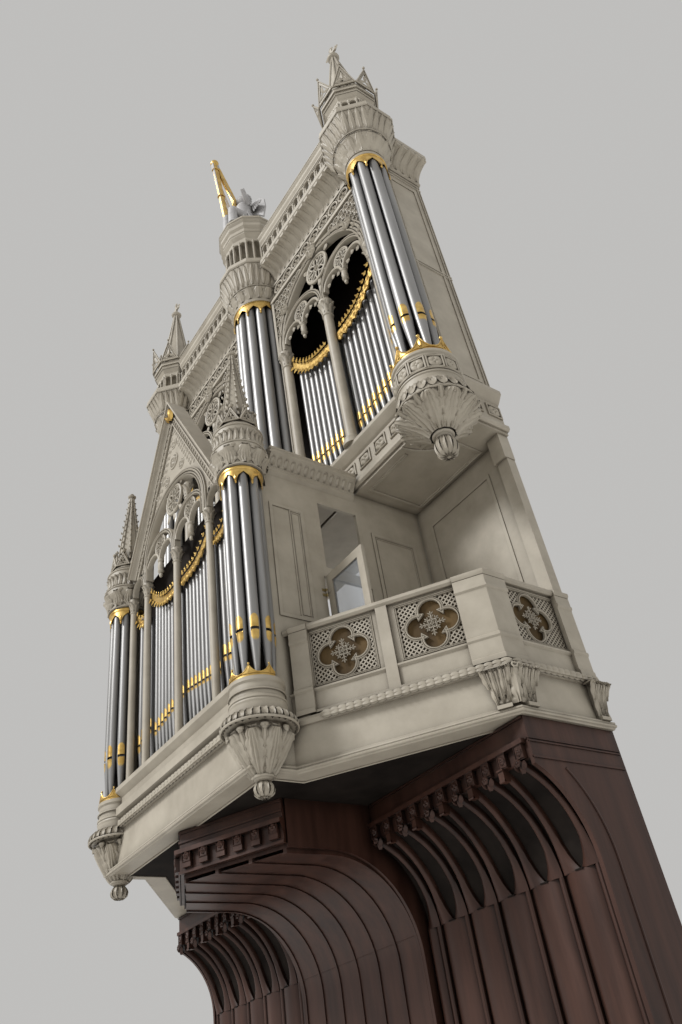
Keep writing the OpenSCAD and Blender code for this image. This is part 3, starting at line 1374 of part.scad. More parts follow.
// A robed figure on the middle tower with a tall harp before it
module harp_figure() {
  x = 60;
  y = -130;
  z = 0;
  color("#a9a7a1") translate([0, -mid_tower_d, mid_top_z + fit]) scale(figure_h / 2860) union() {
    cylinder(h = 90, r = 480, $fn = 12);
    translate([x, y, z + 89]) rotate_extrude() polygon([[0, 0], [330, 0], [300, 120], [315, 300], [260, 420], [240, 520],
      [190, 700], [205, 880], [215, 980], [170, 1110], [70, 1170], [62, 1230], [0, 1230]]);
    translate([x, y, z + 1420]) sphere(r = 165);
    for (s = [-1, 1]) translate([x + s * 120, y - 90, z + 560]) rotate([78, 0, 0]) cylinder(h = 330, r1 = 130, r2 = 105);
    for (s = [-1, 1]) translate([x + s * 120, y - 390, z + 89]) cylinder(h = 560, r1 = 115, r2 = 95);
    for (s = [-1, 1]) translate([x + s * 190, y, z + 1080]) rotate([66, 0, s * 38]) cylinder(h = 360, r1 = 75, r2 = 45);
    for (s = [-1, 1]) translate([x + s * 60, y + 150, z + 1090]) rotate([90, 0, s * 24]) linear_extrude(50)
      polygon([[0, 0], [s * 90, 190], [s * 260, 240], [s * 400, 120], [s * 410, -160], [s * 330, -520], [s * 210, -360],
        [s * 60, -260]]);
    translate([x - 160, 0, 0]) rotate([90, 0, 90]) linear_extrude(90) difference() {
      polygon([[y - 210, z + 150], [y - 340, z + 110], [y - 430, z + 200], [y - 690, z + 2700], [y - 640, z + 2860],
        [y - 560, z + 2820], [y - 480, z + 2500], [y - 250, z + 1900], [y - 110, z + 1480], [y - 120, z + 1300]]);
      polygon([[y - 270, z + 320], [y - 330, z + 300], [y - 570, z + 2560], [y - 340, z + 1880], [y - 200, z + 1440],
        [y - 210, z + 1250]]);
    }
  }
}

oak_back();
oak_side_walls();
oak_plinth();
oak_wing_boards();
oak_wing_slats();
oak_wing_ribs();
oak_wing_fascias();
oak_middle_wall();
oak_vault();
oak_vault_ribs();
oak_vault_fascia();
oak_spandrels();
gallery_soffit();
gallery_facing();
gallery_floor();
gallery_corbels();
balustrade_rails();
balustrade_posts();
lattice_panels();
lattice_backings();
block_front_walls();
block_rear_walls();
door_heads();
door_hinges();
door_right();
door_right_glass();
door_left();
back_panels();
wall_pilasters();
block_roof();
main_soffit();
main_base_band();
main_side_walls();
main_back();
main_columns();
main_tracery();
main_frieze();
main_cornice();
main_parapet();
main_roof();
front_sill();
front_columns();
front_tracery();
front_gable();
front_back();
flat_pipes();
gold_swags();
tower_corbels();
tower_drums();
tower_cores();
tower_crowns();
tower_pipes();
tower_valances();
tower_caps();
tower_lanterns();
tower_spires();
harp_figure();
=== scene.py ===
import bpy
import json
import math
from mathutils import Matrix, Vector


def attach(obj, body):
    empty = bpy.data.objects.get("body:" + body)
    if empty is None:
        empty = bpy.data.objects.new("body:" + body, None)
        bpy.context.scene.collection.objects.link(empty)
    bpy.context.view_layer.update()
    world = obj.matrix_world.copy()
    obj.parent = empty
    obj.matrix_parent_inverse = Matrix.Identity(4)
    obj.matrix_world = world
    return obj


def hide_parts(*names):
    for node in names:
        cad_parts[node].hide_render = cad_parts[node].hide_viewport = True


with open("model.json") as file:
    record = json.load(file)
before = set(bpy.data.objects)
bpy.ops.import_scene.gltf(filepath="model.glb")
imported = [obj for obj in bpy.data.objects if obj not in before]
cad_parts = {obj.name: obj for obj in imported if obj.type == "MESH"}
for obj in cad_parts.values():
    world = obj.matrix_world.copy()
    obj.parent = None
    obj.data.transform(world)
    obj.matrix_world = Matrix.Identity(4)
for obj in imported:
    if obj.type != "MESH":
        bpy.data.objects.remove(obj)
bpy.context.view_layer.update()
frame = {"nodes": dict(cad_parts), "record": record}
nodes = frame["nodes"]

# Levels and places shared with the construction, in metres
level = {"mainSill": 9.46, "spring": 12.81, "stilt": 0.13, "frieze": 14.5, "cornice": 14.95, "frontSill": 5.53,
         "frontSpring": 8.39, "mainPipes": 9.33, "frontPipes": 5.41, "corbel": 8.8997, "frontCorbel": 5.1697,
         "lanternTop": 16.56, "frontSpire": 9.11}
endTower, midTower, frontTower = (3.68, -1.26), (0.0, -1.24), (1.79, -3.06)
mainFront, columnY, bayX, bayHalf = -1.2, -1.23, 2.0, 1.3
galleryLine = [(-3.72, 0), (-3.72, -1.34), (-1.8, -2.67), (-1.8, -3.18),
               (1.8, -3.18), (1.8, -2.67), (3.72, -1.34), (3.72, 0)]
sharpAngle = math.radians(35)


# Camera
shot = {"place": (8.44, -7.15, 1.6), "azimuth": 49.65, "elevation": 37.5, "roll": -9.7,
        "focalPixels": 802.0, "tallPixels": 1024.0, "sensor": 36.0}


def linked(name, data):
    obj = bpy.data.objects.new(name, data)
    bpy.context.scene.collection.objects.link(obj)
    return obj


def placeCamera(s):
    az, el, ro = (math.radians(s[k]) for k in ("azimuth", "elevation", "roll"))
    look = Vector((-math.sin(az) * math.cos(el), math.cos(az) * math.cos(el), math.sin(el)))
    right = Vector((math.cos(az), math.sin(az), 0))
    up = right.cross(look)
    right, up = math.cos(ro) * right + math.sin(ro) * up, math.cos(ro) * up - math.sin(ro) * right
    data = bpy.data.cameras.new("camera")
    data.sensor_fit = "VERTICAL"
    data.sensor_height = s["sensor"]
    data.lens = s["focalPixels"] / s["tallPixels"] * s["sensor"]
    data.clip_end = 500
    camera = linked("camera", data)
    camera.matrix_world = Matrix.Translation(s["place"]) @ Matrix((right, up, -look)).transposed().to_4x4()
    bpy.context.scene.camera = camera


placeCamera(shot)
print("camera placed")


# Materials: each is a small graph on object coordinates
def makeMaterial(name, look):
    m = bpy.data.materials.new(name)
    m.use_nodes = True
    n, link = m.node_tree.nodes, m.node_tree.links.new
    shader = n["Principled BSDF"]

    def add(kind, values):
        node = n.new("ShaderNode" + kind)
        for label, value in values.items():
            node.inputs[label].default_value = value
        return node

    coords = add("TexCoord", {})
    mapping = add("Mapping", {"Scale": look.get("stretch", (1, 1, 1))})
    link(coords.outputs["Object"], mapping.inputs["Vector"])
    grain = add("TexNoise", {"Scale": look["scale"], "Detail": 6, "Roughness": 0.6})
    link(mapping.outputs["Vector"], grain.inputs["Vector"])
    ramp = add("ValToRGB", {})
    for end, position, key in ((0, 0.3, "dark"), (1, 0.7, "light")):
        ramp.color_ramp.elements[end].position = position
        ramp.color_ramp.elements[end].color = (*look[key], 1)
    link(grain.outputs["Fac"], ramp.inputs["Fac"])
    colour = ramp.outputs["Color"]
    # Painted shade: an ambient occlusion mask darkens the base colour towards a near-black shade colour in hollows,
    # creases and recesses, up to the look's reach
    if "paintedShade" in look:
        hollow = add("AmbientOcclusion", {"Distance": look.get("reach", 0.12)})
        hollow.samples = 6
        depth = add("MapRange", {"From Min": 0.25, "From Max": 0.9})
        link(hollow.outputs["AO"], depth.inputs["Value"])
        shadeMix = n.new("ShaderNodeMix")
        shadeMix.data_type = "RGBA"
        shadeMix.inputs["A"].default_value = (*look["paintedShade"], 1)
        link(depth.outputs["Result"], shadeMix.inputs["Factor"])
        link(colour, shadeMix.inputs["B"])
        colour = shadeMix.outputs["Result"]
    link(colour, shader.inputs["Base Color"])
    shader.inputs["Metallic"].default_value = look.get("metal", 0.0)
    shader.inputs["Specular IOR Level"].default_value = look.get("specular", 0.5)
    shader.inputs["Alpha"].default_value = look.get("alpha", 1.0)
    spread = add("MapRange", {"To Min": look["gloss"] - 0.07, "To Max": look["gloss"] + 0.1})
    link(grain.outputs["Fac"], spread.inputs["Value"])
    link(spread.outputs["Result"], shader.inputs["Roughness"])
    fine = add("TexNoise", {"Scale": look["scale"] * 4, "Detail": 4})
    link(mapping.outputs["Vector"], fine.inputs["Vector"])
    bump = add("Bump", {"Strength": look.get("bump", 0.15), "Distance": 0.004})
    link(fine.outputs["Fac"], bump.inputs["Height"])
    link(bump.outputs["Normal"], shader.inputs["Normal"])
    return m


# Each look's near-black shade colour is painted shade, laid into hollows and recesses by makeMaterial; dark and light
# are the materials' own random tone
looks = {
    "paint": {"scale": 2.6, "dark": (0.355, 0.315, 0.25), "light": (0.47, 0.425, 0.345),
              "paintedShade": (0.075, 0.060, 0.042), "gloss": 0.5},
    "oak": {"scale": 5.0, "stretch": (1, 1, 0.12), "dark": (0.028, 0.011, 0.007), "light": (0.076, 0.033, 0.022),
            "paintedShade": (0.005, 0.002, 0.001), "gloss": 0.40, "specular": 0.35, "bump": 0.25, "reach": 0.2},
    "tin": {"scale": 1.2, "stretch": (6, 6, 0.35), "dark": (0.25, 0.245, 0.235), "light": (0.38, 0.375, 0.37),
            "gloss": 0.42, "metal": 0.6, "bump": 0.04, "paintedShade": (0.02, 0.02, 0.022), "reach": 0.10},
    "gilding": {"scale": 9.0, "dark": (0.50, 0.30, 0.07), "light": (0.86, 0.60, 0.20), "gloss": 0.32,
                "metal": 0.75, "paintedShade": (0.16, 0.08, 0.02), "reach": 0.05},
    "glass": {"scale": 3.0, "dark": (0.30, 0.33, 0.36), "light": (0.42, 0.46, 0.50), "gloss": 0.1, "alpha": 0.35,
              "bump": 0.02},
    "backing": {"scale": 4.0, "stretch": (1, 1, 0.2), "dark": (0.045, 0.028, 0.012), "light": (0.15, 0.095, 0.038),
                "gloss": 0.6, "specular": 0.2},
    "floorboards": {"scale": 3.0, "stretch": (0.3, 3, 1), "dark": (0.18, 0.13, 0.09), "light": (0.32, 0.25, 0.18),
                    "gloss": 0.6},
    # dark_timber is near-black with little sheen; the extra sheets given it below are painted shade in voids, gaps and
    # undersides
    "dark_timber": {"scale": 3.0, "dark": (0.009, 0.007, 0.006), "light": (0.024, 0.019, 0.016), "gloss": 0.8,
                    "specular": 0.08},
    "figure_paint": {"scale": 6.0, "dark": (0.36, 0.35, 0.345), "light": (0.54, 0.53, 0.53),
                     "paintedShade": (0.16, 0.15, 0.14), "gloss": 0.5},
    "hinge_brass": {"scale": 9.0, "dark": (0.25, 0.19, 0.08), "light": (0.45, 0.36, 0.18), "gloss": 0.4,
                    "metal": 0.9},
}
materials = {k: makeMaterial(k, v) for k, v in looks.items()}
slotOf = {p["node"]: p["material_slot"] for p in frame["record"]["subparts"]}
for name, node in nodes.items():
    for k in range(len(node.material_slots)):
        node.material_slots[k].material = materials[slotOf[name]]
print("materials made")


# Shapes are pairs (points, faces)
def joined(shapes):
    points, faces = [], []
    for p, f in shapes:
        base = len(points)
        points.extend(p)
        faces.extend(tuple(i + base for i in face) for face in f)
    return points, faces


def moved(shape, matrix):
    return [tuple(matrix @ Vector(p)) for p in shape[0]], shape[1]


def at(x, y, z, turn=0.0, size=1.0, tilt=0.0, lean=0.0):
    scale = Matrix.Diagonal((*((size,) * 3 if isinstance(size, (int, float)) else size), 1))
    return (Matrix.Translation((x, y, z)) @ Matrix.Rotation(math.radians(turn), 4, "Z") @
            Matrix.Rotation(math.radians(lean), 4, "Y") @ Matrix.Rotation(math.radians(tilt), 4, "X") @ scale)


def grid(rows, closedAcross=False, capEnds=False):
    n = len(rows[0])
    points = [p for row in rows for p in row]
    faces = []
    for i in range(len(rows) - 1):
        for k in range(n if closedAcross else n - 1):
            after = (k + 1) % n
            faces.append((i * n + k, i * n + after, (i + 1) * n + after, (i + 1) * n + k))
    if capEnds:
        faces.append(tuple(range(n - 1, -1, -1)))
        faces.append(tuple((len(rows) - 1) * n + k for k in range(n)))
    return points, faces


def polar(r, a, z):
    return r * math.cos(a), r * math.sin(a), z


def lathe(profile, steps=32):
    rows = [[polar(r, 2 * math.pi * k / steps, z) for k in range(steps)] for r, z in profile]
    return grid(rows, closedAcross=True, capEnds=True)


def block(x0, y0, z0, x1, y1, z1):
    points = [(x, y, z) for z in (z0, z1) for x, y in ((x0, y0), (x1, y0), (x1, y1), (x0, y1))]
    return points, [(3, 2, 1, 0), (4, 5, 6, 7), (0, 1, 5, 4), (1, 2, 6, 5), (2, 3, 7, 6), (3, 0, 4, 7)]


def ball(r, steps=12):
    return lathe([(max(r * math.sin(math.pi * i / (steps // 2)), 1e-4), -r * math.cos(math.pi * i / (steps // 2)))
                  for i in range(steps // 2 + 1)], steps)


def roll(t, sides=8):
    return [(t * math.cos(2 * math.pi * k / sides), t * math.sin(2 * math.pi * k / sides)) for k in range(sides)]


def way(p, q):
    return Vector((q[0] - p[0], q[1] - p[1])).normalized()


# Points to the right of the way at point i of a line, and is longer at a corner so that a section keeps its width
def cornerNormal(line, i, closed):
    n = len(line)
    a = way(line[i - 1], line[i]) if i or closed else None
    b = way(line[i], line[(i + 1) % n]) if i < n - 1 or closed else None
    a, b = a or b, b or a
    return Vector((a.y + b.y, -(a.x + b.x))) / max(0.2, 1 + a.dot(b))


# A section (across, depth) carried along a line in the upright X-Z plane; depth runs towards -Y
def sweepFace(line, section, y, closed=False):
    rows = []
    for i, (x, z) in enumerate(line):
        normal = cornerNormal(line, i, closed)
        rows.append([(x - normal.x * s[0], y - s[1], z - normal.y * s[0]) for s in section])
    if closed:
        rows.append(rows[0])
    return grid(rows, closedAcross=True, capEnds=not closed)


# A section (out, up) carried along a line in plan, out to the right of the way
def sweepPlan(line, section):
    rows = []
    for i, (x, y) in enumerate(line):
        normal = cornerNormal(line, i, False)
        rows.append([(x + normal.x * s[0], y + normal.y * s[0], s[1]) for s in section])
    return grid(rows, closedAcross=True, capEnds=True)


def tube(path, radii, sides=8):
    rows = []
    side = None
    for i, p in enumerate(path):
        p = Vector(p)
        ahead = (Vector(path[min(i + 1, len(path) - 1)]) - Vector(path[max(i - 1, 0)])).normalized()
        if side is None:
            side = ahead.orthogonal().normalized()
        side = (side - ahead * side.dot(ahead)).normalized()
        other = ahead.cross(side)
        r = radii[i] if isinstance(radii, (list, tuple)) else radii
        rows.append([tuple(p + side * c * r + other * s * r) for c, s in roll(1, sides)])
    return grid(rows, closedAcross=True, capEnds=True)


def arcLine(cx, cz, r, a, b, steps):
    turns = [math.radians(a + (b - a) * i / steps) for i in range(steps + 1)]
    return [(cx + r * math.cos(t), cz + r * math.sin(t)) for t in turns]


def along(curve, t):
    lengths = [0.0]
    for a, b in zip(curve, curve[1:]):
        lengths.append(lengths[-1] + math.dist(a, b))
    want = t * lengths[-1]
    for i in range(len(curve) - 1):
        if want <= lengths[i + 1] or i == len(curve) - 2:
            f = (want - lengths[i]) / max(1e-9, lengths[i + 1] - lengths[i])
            a, b = curve[i], curve[i + 1]
            return a[0] + (b[0] - a[0]) * f, a[1] + (b[1] - a[1]) * f, way(a, b)


# A carved leaf on a surface whose section is a curve of (out, up) points
def leafOn(curve, width, lift, lobes=3, rows=13, cols=9, blunt=0.5, sink=0.004):
    grown = []
    for i in range(rows):
        t = i / (rows - 1)
        out, up, d = along(curve, t)
        half = width / 2 * min(1.0, 0.45 + 2.2 * t) * (max(0.0, 1 - t ** 3.2) ** blunt)
        half *= 0.80 + 0.20 * abs(math.cos(lobes * math.pi * t))
        row = []
        for k in range(cols):
            u = 2 * k / (cols - 1) - 1
            dome = (1 - u * u) ** 0.6 if abs(u) < 1 else 0
            vein = math.exp(-(u / 0.16) ** 2)
            ribs = 0.28 * math.cos(9 * math.pi * abs(u) * 0.5 + 2.5 * t) * dome * (1 - vein)
            h = lift * (dome * (0.55 + 0.45 * t) + 0.35 * vein * (1 - t) + ribs * 0.6) - sink
            row.append((u * max(half, 0.0015), -(out + d.y * h), up - d.x * h))
        grown.append(row)
    return grid(grown)


def meshOf(name, points, faces=()):
    mesh = bpy.data.meshes.new(name)
    mesh.from_pydata([tuple(p) for p in points], [], faces)
    return mesh


def shown(name, mesh, body, stands=()):
    mesh.polygons.foreach_set("use_smooth", [True] * len(mesh.polygons))
    mesh.set_sharp_from_angle(angle=sharpAngle)
    obj = linked(name, mesh)
    if stands:
        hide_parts(*stands)
    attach(obj, body)


def piece(name, shape, slot, body="case", stands=()):
    mesh = meshOf(name, *shape)
    mesh.materials.append(materials[slot])
    mesh.validate()
    shown(name, mesh, body, stands)


# One node graph puts a unit on each of a list of places
def makeRepeater():
    group = bpy.data.node_groups.new("repeater", "GeometryNodeTree")
    for label, kind in (("Places", "Geometry"), ("Unit", "Object"), ("Finish", "Material")):
        group.interface.new_socket(name=label, in_out="INPUT", socket_type="NodeSocket" + kind)
    group.interface.new_socket(name="Result", in_out="OUTPUT", socket_type="NodeSocketGeometry")
    n, link = group.nodes, group.links.new
    source, target = n.new("NodeGroupInput"), n.new("NodeGroupOutput")
    info, put = n.new("GeometryNodeObjectInfo"), n.new("GeometryNodeInstanceOnPoints")
    turn, size = n.new("GeometryNodeInputNamedAttribute"), n.new("GeometryNodeInputNamedAttribute")
    for node, label in ((turn, "turn"), (size, "size")):
        node.data_type = "FLOAT_VECTOR"
        node.inputs["Name"].default_value = label
    real, finish = n.new("GeometryNodeRealizeInstances"), n.new("GeometryNodeSetMaterial")
    link(source.outputs["Places"], put.inputs["Points"])
    link(source.outputs["Unit"], info.inputs["Object"])
    link(info.outputs["Geometry"], put.inputs["Instance"])
    link(turn.outputs["Attribute"], put.inputs["Rotation"])
    link(size.outputs["Attribute"], put.inputs["Scale"])
    link(put.outputs["Instances"], real.inputs["Geometry"])
    link(real.outputs["Geometry"], finish.inputs["Geometry"])
    link(source.outputs["Finish"], finish.inputs["Material"])
    link(finish.outputs["Geometry"], target.inputs["Result"])
    return group


repeater = makeRepeater()
socketIds = {s.name: s.identifier for s in repeater.interface.items_tree if s.in_out == "INPUT"}


def repeat(name, unit, places, slot, body="case"):
    unitMesh = meshOf(name + "Unit", *unit)
    unitMesh.polygons.foreach_set("use_smooth", [True] * len(unitMesh.polygons))
    unitObject = linked(name + "Unit", unitMesh)
    spots = meshOf(name + "Places", [m.translation for m in places])
    turns = spots.attributes.new("turn", "FLOAT_VECTOR", "POINT")
    sizes = spots.attributes.new("size", "FLOAT_VECTOR", "POINT")
    for i, m in enumerate(places):
        _, rotation, scale = m.decompose()
        turns.data[i].vector = tuple(rotation.to_euler())
        sizes.data[i].vector = tuple(scale)
    holder = linked(name + "Holder", spots)
    modifier = holder.modifiers.new("repeater", "NODES")
    modifier.node_group = repeater
    modifier[socketIds["Unit"]] = unitObject
    modifier[socketIds["Finish"]] = materials[slot]
    mesh = bpy.data.meshes.new_from_object(holder.evaluated_get(bpy.context.evaluated_depsgraph_get()))
    for attribute in ("turn", "size"):
        if attribute in mesh.attributes:
            mesh.attributes.remove(mesh.attributes[attribute])
    for old in (holder, unitObject):
        bpy.data.objects.remove(old)
    if not mesh.materials:
        mesh.materials.append(materials[slot])
    shown(name, mesh, body)


def bothSides(places):
    out = list(places)
    for m in places:
        loc, rot, scale = m.decompose()
        e = rot.to_euler()
        out.append(Matrix.Translation((-loc.x, loc.y, loc.z)) @ Matrix.Rotation(-e.z, 4, "Z") @
                   Matrix.Rotation(-e.y, 4, "Y") @ Matrix.Rotation(e.x, 4, "X") @ Matrix.Diagonal((*scale, 1)))
    return out


# Places right of the middle go to both sides, those in the middle stay single
def bothSidesOnce(places):
    right = [m for m in places if m.translation.x > 0.01]
    return bothSides(right) + [m for m in places if abs(m.translation.x) <= 0.01]


# Places round a tower, "out" from its axis; those of a side tower stand round its twin too
def roundTower(centre, count, z=0.0, out=0.0, start=0.0, across=(0.0,), size=1.0, tilt=0.0):
    places = [at(*centre, z, turn=start + k * 360 / count) @ at(u, -out, 0, size=size, tilt=tilt)
              for k in range(count) for u in across]
    return bothSides(places) if centre[0] else places


def mirrored(shape):
    return [(-x, y, z) for x, y, z in shape[0]], [tuple(reversed(f)) for f in shape[1]]


def twoSided(shape):
    return joined([shape, mirrored(shape)])


print("helpers ready")

# Carved leaves of the main cornice
cornice = {"out": 0.33, "r": 0.30, "pitch": 0.165, "lift": 0.03, "from": 0.62, "to": 3.02, "sideX": 3.74,
           "sideY": -0.72, "sidePitch": 0.16, "side": 5}
s = cornice
hollow = arcLine(s["out"], level["cornice"] + 0.08, s["r"], 180, 90, 10) + [(s["out"] - 0.002, level["cornice"] + 0.44)]
count = int((s["to"] - s["from"]) / s["pitch"])
places = [at(s["from"] + (i + 0.5) * (s["to"] - s["from"]) / count, mainFront, 0) for i in range(count)]
places += [at(s["sideX"], s["sideY"] + i * s["sidePitch"], 0, turn=90) for i in range(s["side"])]
repeat("corniceLeaves", leafOn(hollow, s["pitch"] * 0.98, s["lift"], lobes=4), bothSides(places), "paint")
print("cornice leaves made")


# Small parts of the tracery
def rolls(parts, back=-0.012):
    out = []
    for c, half, high in parts:
        out += [(c + half * math.cos(a), 0.002 + high * math.sin(a)) for a in (math.pi, 2.36, 1.57, 0.78, 0.0)]
    return out + [(parts[-1][0] + parts[-1][1], back), (parts[0][0] - parts[0][1], back)]


def ringFlat(r, t, steps=40, sides=8):
    rows = [[((r + t * c) * math.cos(a), (r + t * c) * math.sin(a), t * d) for c, d in roll(1, sides)]
            for a in [2 * math.pi * k / steps for k in range(steps + 1)]]
    return grid(rows, closedAcross=True)


def ringOn(cx, cz, r, y, section, steps=28):
    return sweepFace(arcLine(cx, cz, r, 0, 360, steps)[:-1], section, y, closed=True)


def archOn(cx, cz, r, foot, y, section, steps=24):
    line = arcLine(cx, cz, r, 0, 180, steps)
    if foot < cz:
        line = [(cx + r, foot)] + line + [(cx - r, foot)]
    return sweepFace(line, section, y)


# A domed leaf in the upright plane, from the origin upwards
def petal(length, width, lift, rows=7, cols=5, point=0.7, curl=0.0):
    out = []
    for i in range(rows):
        t = i / (rows - 1)
        half = width / 2 * max(0.0, math.sin(math.pi * min(1, 0.08 + t * 0.92))) ** point
        row = []
        for k in range(cols):
            u = 2 * k / (cols - 1) - 1
            dome = lift * (1 - u * u) * (0.4 + 0.6 * math.sin(math.pi * t))
            vein = 0.5 * lift * math.exp(-(u / 0.25) ** 2) * (1 - t)
            row.append((u * max(half, 0.0006), -(dome + vein + curl * t * t), t * length))
        out.append(row)
    return grid(out)


def rosette(n, r, lift, centre=0.24, width=1.0):
    one = petal(r * (1 - centre * 0.5), 2 * r * math.sin(math.pi / n) * 0.95 * width, lift)
    parts = [moved(one, at(0, 0, 0, lean=360 * k / n) @ at(0, 0, r * centre * 0.5)) for k in range(n)]
    return joined(parts + [moved(ball(r * centre, 10), at(0, -lift * 0.6, 0, size=(1, 0.6, 1)))])


# A pierced rosette: a ring, n almond loops and a boss
def wheel(cx, cz, r, y, n, t):
    parts = [ringOn(cx, cz, r - t, y, roll(t * 1.3)), ringOn(cx, cz, r * 0.80, y, roll(t * 0.6))]
    for k in range(n):
        a = 2 * math.pi * k / n
        loop = [(cx + math.sin(a) * (0.50 + 0.31 * math.cos(b)) * r + math.cos(a) * 0.15 * r * math.sin(b),
                 cz + math.cos(a) * (0.50 + 0.31 * math.cos(b)) * r - math.sin(a) * 0.15 * r * math.sin(b))
                for b in [math.pi * q / 6 for q in range(12)]]
        parts.append(sweepFace(loop, roll(t * 0.75, 6), y, closed=True))
    parts.append(moved(rosette(8, r * 0.2, t), at(cx, y - t * 0.6, cz)))
    return joined(parts)


# A hooked ring with leaves, the unit of the pierced bands
def scrollUnit(r, t, leaves=3):
    hook = [(r * math.cos(math.radians(a)) * (1 if abs(a - 90) < 120 else 0.8), r * math.sin(math.radians(a)))
            for a in range(-50, 231, 20)]
    parts = [sweepFace(hook, roll(t, 6), 0)]
    for s in (-1, 1):
        curl = [(s * (r * 0.64 - 0.3 * r * (1 - math.cos(q))), -r * 0.77 + 0.34 * r * math.sin(q))
                for q in (0, 0.8, 1.6, 2.4, 3.2)]
        parts.append(sweepFace(curl, roll(t * 0.8, 5), 0))
    for k in range(leaves):
        turn = (k - (leaves - 1) / 2) * 68
        parts.append(moved(petal(r * 0.72, r * 0.46, t * 0.9), at(0, 0, -r * 0.12, lean=turn)))
    parts.append(moved(petal(r * 0.55, r * 0.42, t), at(0, -t * 0.3, -r * 0.35, lean=180)))
    return joined(parts)


# Tracery: the lights of a bay, each with a wheel, two small arches and a turned pendant
pendant = [(0.001, 0.06), (0.05, 0.04), (0.06, 0.0), (0.045, -0.03), (0.055, -0.07), (0.06, -0.13), (0.045, -0.19),
           (0.06, -0.215), (0.05, -0.24), (0.022, -0.26), (0.035, -0.29), (0.03, -0.33), (0.001, -0.35)]


def lightOn(s, cx, crown, foot):
    parts = [archOn(cx, crown, s["light"], foot, s["y"] - 0.004, rolls(s["lightRolls"], back=s["lightBack"])),
             wheel(cx, crown + s["wheelUp"], s["wheel"], s["y"] + s["wheelBack"], 8, s["wheelRoll"])]
    for u in (-1, 1):
        parts.append(archOn(cx + u * s["smallX"], crown, s["small"], crown, s["y"] + 0.005,
                            rolls(s["smallRolls"], back=s["smallBack"]), s["smallSteps"]))
    turned = [(r * s["pendant"], z * s["pendant"]) for r, z in pendant]
    parts.append(moved(lathe(turned, 14), at(cx, s["y"] + 0.02, crown - s["pendantDown"])))
    return parts


def leavesRound(leaf, cx, cz, r, y, angles, lean=90):
    return [moved(leaf, at(cx + r * math.cos(math.radians(a)), y, cz + r * math.sin(math.radians(a)), lean=lean - a))
            for a in angles]


# Main bays
bay = {"y": -1.285, "arch": 1.28, "inner": 0.522, "outer": 3.315, "back": -1.175,
       "archRolls": [(-0.088, 0.02, 0.03), (-0.035, 0.032, 0.05), (0.028, 0.026, 0.03), (0.078, 0.022, 0.045)],
       "lightX": 0.64, "light": 0.602, "lightRolls": [(-0.022, 0.018, 0.03), (0.02, 0.018, 0.03)],
       "lightBack": -0.08, "wheel": 0.205, "wheelUp": 0.353, "wheelBack": 0.02, "wheelRoll": 0.016,
       "smallX": 0.282, "small": 0.255, "smallRolls": [(0.0, 0.03, 0.035)], "smallBack": -0.06, "smallSteps": 16,
       "smallLeaves": (30, 90, 150), "pendant": 1.0, "pendantDown": 0.02,
       "rose": 0.315, "roseUp": 0.849, "roseRoll": 0.024, "roseLeaves": (-128, -90, -52, 35, 145), "leafRing": 0.33}
spring, frieze = level["spring"], level["frieze"]
crownZ = spring + level["stilt"]
parts = [archOn(bayX, crownZ, bay["arch"], spring, bay["y"], rolls(bay["archRolls"], back=-0.1), 40)]
for s in (-1, 1):
    cx = bayX + s * bay["lightX"]
    parts += lightOn(bay, cx, crownZ, spring)
    for u in (-1, 1):
        parts += leavesRound(petal(0.10, 0.09, 0.02), cx + u * bay["smallX"], crownZ, 0.21, bay["y"] + 0.02,
                             bay["smallLeaves"], lean=-90)
roseZ = crownZ + bay["roseUp"]
parts.append(wheel(bayX, roseZ, bay["rose"], bay["y"] + 0.01, 8, bay["roseRoll"]))
parts += leavesRound(petal(0.16, 0.1, 0.02), bayX, roseZ, bay["leafRing"], bay["y"] + 0.01, bay["roseLeaves"])
parts += [block(bay["inner"], -1.24, level["mainSill"], bay["inner"] + 0.034, -1.22, frieze),
          block(bay["inner"], bay["y"], spring, 0.59, bay["back"], frieze),
          block(bay["outer"], bay["y"], spring, 3.36, bay["back"], frieze),
          block(bay["inner"], -1.30, frieze - 0.075, bay["outer"], bay["back"], frieze),
          block(bayX - 0.045, -1.27, spring, bayX + 0.045, -1.19, crownZ + 0.55)]
piece("bayTracery", twoSided(joined(parts)), "paint", stands=("main_tracery",))

scrolls = {"rows": 12, "columns": 18, "left": 0.66, "foot": 12.93, "across": 0.158, "up": 0.137,
           "clear": 1.43, "right": 3.31, "top": 14.40, "size": 0.088}
spots = []
for row in range(scrolls["rows"]):
    for column in range(scrolls["columns"]):
        x = scrolls["left"] + (column + (row % 2) / 2) * scrolls["across"]
        z = scrolls["foot"] + row * scrolls["up"]
        clear = math.hypot(x - bayX, z - crownZ) > scrolls["clear"]
        if clear and x < scrolls["right"] and z < scrolls["top"]:
            spots.append(at(x, bay["y"] + 0.03, z, size=scrolls["size"]))
repeat("spandrelScrolls", scrollUnit(1.0, 0.2), bothSides(spots), "paint")

boss = {"ring": 1.303, "from": 15, "step": 12.5, "count": 13, "size": 0.055, "keystone": 0.15, "corner": 0.12}
bosses = []
for k in range(boss["count"]):
    turn = boss["from"] + boss["step"] * k
    x = bayX + boss["ring"] * math.cos(math.radians(turn))
    z = crownZ + boss["ring"] * math.sin(math.radians(turn))
    bosses.append(at(x, bay["y"] - 0.035, z, lean=90 - turn, size=boss["size"]))
bosses.append(at(bayX, bay["y"] - 0.06, crownZ + bay["arch"], size=boss["keystone"]))
bosses += [at(bayX + s * 1.02, bay["y"] - 0.05, crownZ + 0.80, size=boss["corner"]) for s in (-1, 1)]
repeat("archBosses", rosette(6, 1.0, 0.35), bothSides(bosses), "paint")
print("tracery made")
